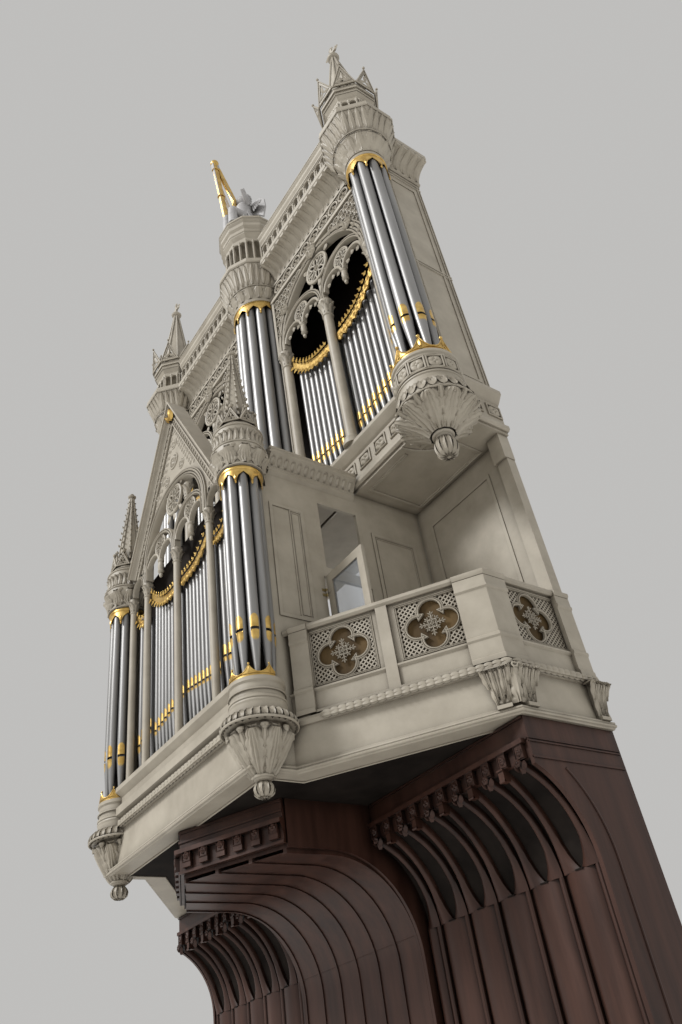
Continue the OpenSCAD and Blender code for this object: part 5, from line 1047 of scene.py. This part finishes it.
repeat("bracketLeaves", bracket, bothSides(places), "paint")
cornerTurn = 62.4
cornerLeaf = leafOn(leafCurve, 0.13, 0.06, lobes=4, rows=17)
piece("cornerLeaves", twoSided(joined([moved(cornerLeaf, at(*corner, 0, turn=cornerTurn) @ at(0, 0.012, 0)),
                                       moved(scroll, at(*corner, 4.955, turn=cornerTurn) @ at(0, -0.15, 0))])), "paint")
inward = [(-3.50, -0.02), (-3.50, -1.22), (-1.66, -2.50), (-1.66, -2.98)]
inward += [(-x, y) for x, y in reversed(inward)]
# Near-black sheet under the gallery: painted shade on its underside
under = [(x, y, 4.4965) for x, y in inward]
piece("undersidePanel", (under, [tuple(range(len(under)))]), "dark_timber")
underRoll = [(0.0, 4.5), (0.0, 4.488), (0.012, 4.484), (0.022, 4.49), (0.022, 4.5)]
piece("undersideFrame", sweepPlan(inward, underRoll), "paint")
print("gallery made")

# Oak: beads, heads and blocks of the ribs, rosettes under the fascia, mouldings of the sides
wing = {"r": 0.99, "depth": 0.76, "curveZ": 3.1989, "edge": 3.70, "front": -1.34, "foot": 0.33,
        "slats": [3.6647 - (i + 0.5) * 0.446 for i in range(6)]}


def wingPath(out, top, steps=12):
    r, cy = wing["r"] - out, -wing["depth"] - wing["r"]
    end = math.asin(min(1, (top - wing["curveZ"]) / r))
    turns = [end * i / steps for i in range(steps + 1)]
    return [(cy + r, wing["foot"])] + [(cy + r * math.cos(a), wing["curveZ"] + r * math.sin(a)) for a in turns]


beads = [tube([(3.712, y, z) for y, z in wingPath(-0.17, 4.02)], 0.012, 6)]
beads += [block(wing["edge"], wing["front"], z, 3.722, -0.02, z + h)
          for z, h in ((4.085, 0.022), (4.24, 0.014), (4.27, 0.008))]
beads += [block(wing["edge"], -0.84, 0.30, 3.722, -0.02, 0.325), block(wing["edge"], -0.80, 0.0, 3.716, -0.02, 0.12),
          block(1.24, -1.352, 4.27, 3.69, -1.33, 4.285), block(1.24, -1.362, 4.47, wing["edge"], -1.33, 4.49)]
piece("oakBeads", twoSided(joined(beads)), "oak")
heads, plain = ([at(x + s * 0.1275, -1.335, 4.06) for x in wing["slats"] if x + s * 0.1275 > 1.25] for s in (1, -1))
headLeaf = petal(0.08, 0.06, 0.03, curl=0.02)
head = joined([moved(ball(0.03, 10), at(0, -0.04, 0.005)),
               moved(petal(0.11, 0.09, 0.03, curl=0.02), at(0, -0.03, -0.085)),
               moved(headLeaf, at(0.025, -0.045, -0.05, lean=35)), moved(headLeaf, at(-0.025, -0.045, -0.05, lean=-35)),
               moved(rosette(5, 0.04, 0.015), at(0, -0.085, 0.01))])
repeat("ribHeads", head, bothSides(heads), "oak")
ribBlock = joined([block(-0.034, -0.06, -0.07, 0.034, 0.02, 0.05), block(-0.04, -0.072, 0.03, 0.04, 0.02, 0.045),
                   tube([(-0.034, -0.055, -0.065), (0.034, -0.055, -0.065)], 0.014, 8)])
repeat("ribBlocks", ribBlock, bothSides(plain), "oak")
vault = {"x": 1.21, "side": -2.51, "tip": -3.1, "rise": 0.59, "spring": 2.95, "cy": -1.90, "r": 1.016, "front": 2.44,
         "boards": (-1.163, -0.58, 0.0, 0.58, 1.163)}
vaultTurn = math.degrees(math.atan2(vault["rise"], vault["x"]))
dentils = [at(1.2903 + i * 0.22941, -1.386, 4.175) for i in range(11)]
dentils += [at(vault["x"] * f, vault["tip"] + vault["rise"] * f, 4.21, turn=vaultTurn) @ at(0, -0.047, 0)
            for f in [(k + 0.55) / 6 for k in range(6)]]
dentil = joined([rosette(4, 0.042, 0.014), sweepFace([(-0.05, -0.062), (0.05, -0.062), (0.05, 0.062), (-0.05, 0.062)],
                                                     rolls([(0.0, 0.004, 0.006)], back=-0.006), 0, closed=True)])
repeat("dentilRosettes", dentil, bothSides(dentils), "oak")
# Near-black blocks at the slats' tops, where they part into ribs: painted shade in the gaps
tips = [block(x - 0.045, -0.842, 3.195, x + 0.045, -wing["depth"], 3.207) for x in wing["slats"] if x > 1.3]
piece("slatTips", twoSided(joined(tips)), "dark_timber")

# Vault: rolls along its fascia and the smooth boards under it
vaultLine = [(-vault["x"], vault["side"]), (0, vault["tip"]), (vault["x"], vault["side"])]
vaultParts = [sweepPlan(vaultLine, [(-0.01, z), (0.014, z), (0.014, z + h), (-0.01, z + h)])
              for z, h in ((4.04, 0.03), (4.36, 0.02), (4.46, 0.03))]
vaultParts.append(block(-1.16, -0.912, 3.17, 1.16, -0.895, 3.182))
bend = arcLine(vault["cy"], vault["spring"], vault["r"], 0, 90, 15)
sheet = []
for x in vault["boards"]:
    front = -vault["front"] - vault["rise"] * (1 - abs(x) / vault["x"])
    sheet.append([(x, bend[0][0], wing["foot"])] + [(x, y, z) for y, z in bend] + [(x, front, bend[-1][1])])
vaultParts.append(grid(sheet))
piece("vaultMouldings", joined(vaultParts), "oak")
print("oak made")

# Front case: arch rolls, wheels and pendants, and the gable with its hollow raking cornice
frontCase = {"y": -3.13, "z": level["frontSpring"], "arch": 0.955, "crown": 0.25, "apart": 0.4875, "gableX": 1.43,
             "gableLow": 0.33, "gableHigh": 2.92, "plateX": 1.433, "plateTop": 2.672, "slope": 2.342 / 1.293,
             "archRolls": [(-0.04, 0.014, 0.025), (-0.008, 0.02, 0.04), (0.035, 0.018, 0.03), (0.068, 0.014, 0.04)],
             "light": 0.455, "lightCrown": 0.11, "lightRolls": [(-0.018, 0.014, 0.025), (0.016, 0.014, 0.025)],
             "lightBack": -0.07, "wheel": 0.168, "wheelUp": 0.283, "wheelBack": 0.015, "wheelRoll": 0.014,
             "smallX": 0.216, "small": 0.205, "smallRolls": [(0.0, 0.022, 0.028)], "smallBack": -0.05,
             "smallSteps": 14, "pendant": 0.8, "pendantDown": 0.01,
             "sideRolls": [(-0.01, 0.012, 0.02), (0.014, 0.012, 0.03)], "roseUp": 0.90, "leafRing": 0.262,
             "roseLeaves": (-125, -90, -55, 40, 140)}
s = frontCase
foot, frontY = s["z"], s["y"]
crown = foot + s["crown"]
parts = [archOn(0, crown, s["arch"], foot, frontY, rolls(s["archRolls"], back=-0.08), 36)]
for u in (-1, 1):
    parts += lightOn(s, u * s["apart"], foot + s["lightCrown"], foot)
    parts.append(archOn(u * 1.214, foot + 0.05, 0.175, foot, frontY, rolls(s["sideRolls"], back=-0.06), 16))
    x0, x1 = sorted((u * 1.035, u * 1.433))
    parts.append(block(x0, -3.12, foot + 0.20, x1, -3.05, foot + 0.33))
parts.append(wheel(0, foot + s["roseUp"], 0.25, frontY + 0.01, 8, 0.02))
parts += leavesRound(petal(0.13, 0.08, 0.018), 0, foot + s["roseUp"], s["leafRing"], frontY + 0.01, s["roseLeaves"])
rows = []
for i in range(49):
    a = math.radians(180 * i / 48)
    c, v = math.cos(a), math.sin(a)
    sideways = s["plateX"] / max(abs(c), 1e-6)
    far = min(sideways, (s["plateTop"] - s["crown"]) / (v + abs(c) * s["slope"]))
    if v * sideways < 0.08:
        far = sideways
    rows.append([(r * c, y, crown + r * v) for r, y in ((1.0, -3.05), (1.0, -3.12), (far, -3.12), (far, -3.05))])
parts.append(grid(rows, closedAcross=True))
rake = [(-s["gableX"], foot + s["gableLow"]), (0, foot + s["gableHigh"]), (s["gableX"], foot + s["gableLow"])]
rakeSection = [(0.0, -0.15), (0.0, 0.15), (-0.026, 0.15), (-0.03, 0.128), (-0.045, 0.12), (-0.06, 0.085),
               (-0.085, 0.058), (-0.115, 0.05), (-0.12, 0.068), (-0.14, 0.068), (-0.145, 0.05), (-0.215, 0.046),
               (-0.22, 0.062), (-0.238, 0.062), (-0.243, 0.035), (-0.243, -0.02), (-0.12, -0.15)]
parts.append(sweepFace(rake, rakeSection, -3.09))
piece("gableWork", joined(parts), "paint", stands=("front_tracery", "front_gable"))

# Leaves and loops along the gable's rake: how far in from the edge, y, size, and whether they keep off the arch
rakeRows = {"count": 26, "first": 1.1, "steps": 27.5, "clear": 1.07,
            "leaves": ((0.18, -3.135, 0.065, False),),
            "loops": ((0.285, -3.12, 0.036, True), (0.36, -3.12, 0.036, True))}
rise = s["gableHigh"] - s["gableLow"]
rakeLean = math.degrees(math.atan2(s["gableX"], rise))


def rakeSpots(rows):
    s = frontCase
    out = []
    for k in range(rakeRows["count"]):
        f = (k + rakeRows["first"]) / rakeRows["steps"]
        for inset, y, size, offArch in rows:
            x = s["gableX"] * (1 - f) - inset * math.cos(math.radians(rakeLean))
            z = foot + s["gableLow"] + rise * f - inset * math.sin(math.radians(rakeLean))
            if x > 0.03 and not (offArch and math.hypot(x, z - crown) <= rakeRows["clear"]):
                out.append(at(x, y, z, lean=-rakeLean, size=size))
    return out


loops = rakeSpots(rakeRows["loops"])
for x, z, r in ((0.0, 1.66, 0.15), (0.0, 2.02, 0.10), (0.25, 1.42, 0.10), (0.60, 1.35, 0.09), (0.45, 1.60, 0.08),
                (0.98, 0.98, 0.08)):
    loops.append(at(x, -3.115, foot + z, size=r))
    if r > 0.09:
        loops.append(at(x, -3.115, foot + z, lean=45, size=r * 0.7))
loop = joined([ringOn(0, 0, 0.8, 0, roll(0.16, 6), 14), rosette(4, 0.75, 0.25)])
repeat("gableLoops", loop, bothSidesOnce(loops), "paint")
sideLeaf = petal(0.9, 0.6, 0.25)
rakeLeaf = joined([petal(1.3, 0.8, 0.3)] + [moved(sideLeaf, at(0, 0, 0.1, lean=lean)) for lean in (60, -60)])
repeat("rakeLeaves", rakeLeaf, bothSides(rakeSpots(rakeRows["leaves"])), "paint")
flameSide = petal(0.16, 0.09, 0.03, curl=0.05)
flame = joined([moved(petal(0.26, 0.12, 0.04, curl=0.04), at(0, 0, -0.10))] +
               [moved(flameSide, at(u * 0.03, -0.01, -0.09, lean=u * 32)) for u in (1, -1)])
piece("gableFlame", moved(flame, at(0, -3.165, foot + 2.60)), "gilding")
print("front case made")


# Block: cornice beads and leaves, panel mouldings; the main case's underside and sides
def beadAt(out, z, t):
    return [(out, z), (out + t, z + t), (out + t, z + 2 * t), (out, z + 3 * t)]


blockEdge = [(1.802, -2.68), (1.802, -1.262)]
lines = [sweepPlan(blockEdge, beadAt(out, z, t)) for out, z, t in
         ((0.036, 8.595, 0.008), (0.036, 8.645, 0.010), (0.146, 8.83, 0.012), (0.146, 8.895, 0.010))]
for y0, y1 in ((-2.42, -2.16), (-1.04, -0.26)):
    for inset, t in ((0.045, 0.010), (0.075, 0.006)):
        a, b, low, high = y0 + inset, y1 - inset, 6.385 + inset, 8.065 - inset
        outline = sweepFace([(a, low), (b, low), (b, high), (a, high)], rolls([(0.0, t, t)]), 0, closed=True)
        lines.append(moved(outline, at(1.801, 0, 0, turn=90)))
piece("blockMouldings", twoSided(joined(lines)), "paint")
slope = [(0.04, 8.69), (0.07, 8.735), (0.11, 8.79), (0.135, 8.80)]
places = [at(1.80, -2.60 + k * 0.105, 0, turn=90) for k in range(13)]
repeat("blockCorniceLeaves", leafOn(slope, 0.10, 0.03, lobes=4), bothSides(places), "paint")
soffitLines = ([(1.98, -0.14), (3.30, -0.14), (3.30, -0.72)], [(1.98, -0.14), (1.98, -1.06), (2.82, -1.06)],
               arcLine(*endTower, 0.80, 128, 176, 12))
soffitSection = [(-0.03, 8.701), (-0.03, 8.69), (-0.015, 8.68), (0.0, 8.69), (0.02, 8.685), (0.03, 8.70)]
piece("soffitMouldings", twoSided(joined([sweepPlan(line, soffitSection) for line in soffitLines])), "paint")
sideLines = [tube([(3.745, y, 9.48), (3.745, y, 14.88)], t, 8) for y, t in
             ((-0.86, 0.022), (-0.80, 0.014), (-0.76, 0.014), (-0.10, 0.018), (-0.05, 0.012))]
sideSection = [(-0.005, 0.0), (0.02, 0.01), (0.02, 0.03), (-0.005, 0.04)]
sideLines += [sweepPlan([(3.74, -0.88), (3.74, -0.03)], [(out, z + up) for out, up in sideSection])
              for z in (9.50, 14.84, 14.74, 12.10, 12.16)]
piece("sideMouldings", twoSided(joined(sideLines)), "paint")
print("block and sides made")

# Parapet: shafts and hoods between the openings
parapet = {"from": 0.585, "pitch": 0.1997, "count": 13, "y": -1.3815, "shaftZ": 15.60, "hoodZ": 16.06, "hood": 0.078}


def parapetSpots(first, z):
    s = parapet
    return bothSides([at(s["from"] + (k + first) * s["pitch"], s["y"], z) for k in range(s["count"])])


shaft = lathe([(0.001, 0), (0.03, 0), (0.03, 0.03), (0.018, 0.05), (0.018, 0.44), (0.026, 0.46), (0.03, 0.49),
               (0.001, 0.49)], 10)
repeat("parapetShafts", shaft, parapetSpots(1, parapet["shaftZ"]), "paint")
hood = archOn(0, 0, parapet["hood"], 0, 0, rolls([(0.0, 0.016, 0.022)], back=-0.01), 12)
repeat("parapetHoods", hood, parapetSpots(0.5, parapet["hoodZ"]), "paint")
trim = [(0.74, [(0.0, z), (0.016, z + 0.008), (0.016, z + 0.022), (0.0, z + 0.03)]) for z in (15.575, 16.16)]
trim.append((0.78, [(0.08, 16.44), (0.08, 16.45), (0.095, 16.455), (0.095, 16.475), (0.08, 16.48)]))
shapes = [sweepPlan([(x, parapet["y"]), (3.17, parapet["y"])], section) for x, section in trim]
piece("parapetTrim", twoSided(joined(shapes)), "paint")
print("parapet made")

# Gilded harp: pillar, sound box, neck, knob, strings and rings
harp = {"x": -0.055, "foot": (-1.745, 17.42), "knob": (-1.985, 20.0), "strings": 6,
        "rings": ((-1.77, 17.62), (-1.87, 18.65), (-1.97, 19.70)),
        "parts": (([(-1.745, 17.42), (-1.99, 19.93)], 0.068),
                  ([(-1.745, 17.42), (-1.66, 17.42), (-1.61, 17.48), (-1.535, 18.52)], 0.066),
                  ([(-1.535, 18.50), (-1.525, 18.72), (-1.665, 19.13), (-1.90, 19.80)], 0.062))}
shapes = [tube([(harp["x"], y, z) for y, z in path], r, 10) for path, r in harp["parts"]]
shapes.append(moved(ball(0.10, 14), at(harp["x"], *harp["knob"])))
shapes += [tube([(harp["x"], -1.60 - 0.007 * k, 17.6 + 0.14 * k), (harp["x"], -1.76 - 0.026 * k, 18.0 + 0.26 * k)],
                0.006, 5) for k in range(harp["strings"])]
shapes += [moved(ringFlat(0.075, 0.014, 18, 6), at(harp["x"], y, z)) for y, z in harp["rings"]]
piece("harpGilding", joined(shapes), "gilding")

# The figure's robe, hair and wings
figure = {"place": (0.06, -1.37, 17.33), "folds": 14, "locks": 9, "feathers": 6,
          "robe": ((0.325, 0.0), (0.30, 0.11), (0.31, 0.30), (0.255, 0.42), (0.235, 0.52), (0.19, 0.70)),
          "thick": [0.04, 0.035, 0.032, 0.026, 0.022, 0.012],
          "hair": ((0.045, 0.15, 0.13, 0.04, 1.45), (0.04, 0.16, 0.12, 0.02, 1.36))}
folds = []
for k in range(figure["folds"]):
    a = 2 * math.pi * (k + 0.5) / figure["folds"]
    folds.append(tube([polar(r, a, z) for r, z in figure["robe"]], figure["thick"], 6))
for k in range(figure["locks"]):
    a = math.pi * k / (figure["locks"] - 1)
    folds += [moved(ball(r, 8), at(wide * math.cos(a), back + deep * math.sin(a), z))
              for r, wide, deep, back, z in figure["hair"]]
for s in (-1, 1):
    folds += [moved(petal(0.46 - 0.035 * k, 0.12, 0.03, curl=0.02),
                    at(s * (0.16 + 0.045 * k), 0.12, 1.16 - 0.05 * k, lean=180 - s * (12 + 6 * k)))
              for k in range(figure["feathers"])]
piece("figureFolds", moved(joined(folds), at(*figure["place"])), "figure_paint")
print("figure made")

# Flat pipes, which end behind the hanging bands, with near-black sheets on their mouths as painted shade
flat = []
for s in pipeRows:
    start, run, high, low = s["swag"]
    for x, foot, r in pipesOf(s):
        top = swagTop(min(1, max(0, (x - start) / run)), high, low) - 0.03 - s["sill"]
        profile = [(0.32 * r, 0.001), (r, foot), (r, foot + 0.4), (r, top), (0.9 * r, top)]
        flat.append(moved(lathe(profile, 20), at(x, s["y"], s["sill"])))
piece("flatPipes", twoSided(joined(flat)), "tin", stands=("flat_pipes",))
mouthShadeSheet = {"r": 1.006, "low": 0.13, "tall": 0.5, "steps": 5}
rows = []
for i in range(mouthShadeSheet["steps"]):
    z = mouthShadeSheet["low"] + mouthShadeSheet["tall"] * i / (mouthShadeSheet["steps"] - 1)
    rows.append([polar(mouthShadeSheet["r"], math.radians(q - 90), z) for q in range(-40, 41, 10)])
repeat("pipeSlits", grid(rows), bothSides(flatMouths), "dark_timber")
print("flat pipes made")


# Crowns of the towers, with hollow edges between their points; "keep" says where a crown runs
def crownSheet(centre, r, z, h, n, keep):
    steps = n * 10
    runs, run = [], []
    for i in range(steps + 1):
        a = 2 * math.pi * (i / steps) + math.pi / 2
        if keep(r * math.cos(a), r * math.sin(a)):
            u = abs(((a * n / (2 * math.pi)) % 1) - 0.5) * 2
            run.append((a, h * (0.32 + 0.66 * u ** 2.4)))
        elif run:
            runs.append(run)
            run = []
    runs += [run] if run else []
    parts = []
    for q in runs:
        sheet = [[polar(r, a, 0), polar(r, a, t), polar(r - 0.012, a, t), polar(r - 0.012, a, 0)] for a, t in q]
        parts += [grid(sheet, closedAcross=True, capEnds=True), tube([polar(r, a, t) for a, t in q], 0.04 * h, 6)]
        parts += [tube([polar(r + 0.003, a, up * h) for a, t in q], 0.03 * h, 6) for up in (0.02, 0.26)]
    return moved(joined(parts), at(*centre, z))


endCrown = crownSheet(endTower, 0.42, level["mainPipes"], 0.28, 8,
                      lambda x, y: y < 0.245 and math.hypot(x + 0.38, y - 0.03) > 0.10)
frontCrown = crownSheet(frontTower, 0.287, level["frontPipes"], 0.14, 8, lambda x, y: y < 0.08)
midCrown = crownSheet(midTower, 0.56, level["mainPipes"], 0.28, 12, lambda x, y: y < -0.045)
piece("crownSheets", joined([twoSided(joined([endCrown, frontCrown])), midCrown]), "gilding", stands=("tower_crowns",))


# Gablets standing round the towers' tops
def gablet(w, h):
    inner = [(-w * 0.30, h * 0.12), (0, h * 0.72), (w * 0.30, h * 0.12)]
    outer = [(-w / 2, 0.0), (0, h), (w / 2, 0.0)]
    parts = [sweepFace(outer, rolls([(-0.012, 0.012, 0.014)], back=-0.02), 0, closed=True),
             sweepFace(inner, rolls([(0.0, 0.008, 0.010)], back=-0.016), 0, closed=True),
             block(-w * 0.46, -0.004, 0.0, w * 0.46, 0.02, h * 0.11), moved(ball(0.028, 8), at(0, 0, h + 0.02))]
    parts += [moved(petal(h * 0.3, w * 0.16, 0.014), at(0, 0, h * 0.30, lean=120 * k)) for k in range(3)]
    for u in (-1, 1):
        parts.append(grid([[(u * w * 0.47, 0.0, 0.0), (0, 0.0, h * 0.96)],
                           [(u * w * 0.30, 0.0, h * 0.12), (0, 0.0, h * 0.72)]]))
    return joined(parts)


repeat("endGablets", gablet(0.45, 0.60), roundTower(endTower, 8, level["lanternTop"], 0.53, tilt=9), "paint")
repeat("frontGablets", gablet(0.235, 0.26), roundTower(frontTower, 8, 9.10, 0.262), "paint")
print("crowns and gablets made")

# Oak wings: rounded slats with a bead, whose tops part into two curved ribs
# The inside and outside lines give a rib's edges, sideways from its slat's middle, over its run
rib = {"cy": -1.75, "r": wing["r"], "z": wing["curveZ"], "end": 64.0, "face": -1.335, "top": 4.09, "steps": 18,
       "inside": [(0.0, 0.004), (0.05, 0.04), (0.12, 0.08), (0.25, 0.116), (0.5, 0.126), (0.8, 0.112), (1.0, 0.094)],
       "outside": [(0.0, 0.212), (0.12, 0.212), (0.3, 0.200), (0.5, 0.190), (0.8, 0.168), (1.0, 0.150)]}
slat = {"left": 0.208, "right": 0.148, "least": 1.2115, "y": -0.761, "levels": (0.325, 1.1, 1.9, 2.6, 3.199),
        "beadX": 0.182, "beadY": -0.782, "bead": 0.030}


def between(line, f):
    for (a, u), (b, v) in zip(line, line[1:]):
        if f <= b:
            return u + (v - u) * (f - a) / (b - a)
    return line[-1][1]


# A rounded section from x0 to x1: upright edges and between them a bow, a function of the share of the way
def bowed(x0, x1, edge, bow, steps):
    middle = [(x0 + (x1 - x0) * u, bow(u)) for u in steps]
    return [(x0, 0.0), (x0, edge)] + middle + [(x1, edge), (x1, 0.0)]


def ribBow(u):
    return 0.052 + 0.030 * math.sin(math.pi * u)


def slatBow(u):
    return 0.014 + 0.058 * (1 - (2 * u - 1) ** 2) ** 0.7


def ribStrip(xc, s):
    rows = []
    for i in range(rib["steps"] + 1):
        f = (i / rib["steps"]) ** 1.3
        a = math.radians(rib["end"] * f)
        x0, x1 = between(rib["inside"], f), between(rib["outside"], f)
        section = bowed(x0, x1, 0.05, ribBow, (0.12, 0.3, 0.5, 0.7, 0.88))
        flush = 0.8 + 0.2 * min(1, f / 0.15)
        row = []
        for x, out in section:
            r = rib["r"] - out * flush
            row.append((xc + s * x, max(rib["face"], rib["cy"] + r * math.cos(a)), rib["z"] + r * math.sin(a)))
        rows.append(row)
    rows.append([(x, y, max(z, rib["top"])) for x, y, z in rows[-1]])
    return grid(rows if s > 0 else [list(reversed(r)) for r in rows], capEnds=True)


wings = []
for x in wing["slats"]:
    wings += [ribStrip(x, s) for s in (-1, 1) if x + s * 0.1 > 1.215]
    x0, x1 = max(x - slat["left"], slat["least"]), x + slat["right"]
    section = bowed(x0, x1, 0.012, slatBow, [k / 14 for k in range(1, 14)])
    rows = [[(q, slat["y"] - o, z) for q, o in section] for z in slat["levels"]]
    wings.append(grid(rows, closedAcross=True, capEnds=True))
    ends = [(x + slat["beadX"], slat["beadY"], z) for z in (slat["levels"][0], slat["levels"][-1])]
    wings.append(tube(ends, slat["bead"], 10))
piece("oakWings", twoSided(joined(wings)), "oak", stands=("oak_wing_slats", "oak_wing_ribs"))
# Near-black sheet behind the ribs: painted shade in the gaps between them
behind = arcLine(rib["cy"], rib["z"], 0.984, 0, rib["end"], 16)
paintedShade = grid([[(x, y, z) for y, z in behind] for x in (1.216, 3.655)])
piece("wingRecess", twoSided(paintedShade), "dark_timber")
print("oak wings made")


# Studio
studio = {"floor": 60, "colour": (0.95, 0.94, 0.92, 1), "strength": 0.55,
          "paint": {"scale": 0.4, "dark": (0.78, 0.77, 0.75), "light": (0.82, 0.81, 0.79), "gloss": 0.8, "bump": 0.02},
          "lamps": {"key": {"kind": "SUN", "energy": 2.3, "turn": (50, 0, -14), "angle": 14},
                    "low": {"kind": "SUN", "energy": 0.6, "turn": (108, 0, 30), "angle": 30}}}
corners = [(x * studio["floor"], y * studio["floor"], -0.002) for x, y in ((-1, -1), (1, -1), (1, 1), (-1, 1))]
floor = linked("studioFloor", meshOf("studioFloor", corners, [(0, 1, 2, 3)]))
floor.data.materials.append(makeMaterial("studioPaint", studio["paint"]))

world = bpy.data.worlds.new("studio")
bpy.context.scene.world = world
world.use_nodes = True
background = world.node_tree.nodes["Background"]
background.inputs["Color"].default_value = studio["colour"]
background.inputs["Strength"].default_value = studio["strength"]
for name, s in studio["lamps"].items():
    data = bpy.data.lights.new(name, s["kind"])
    data.energy = s["energy"]
    data.angle = math.radians(s["angle"])
    linked(name, data).rotation_euler = tuple(math.radians(v) for v in s["turn"])
bpy.context.scene.view_settings.view_transform = "Standard"
print("studio made")
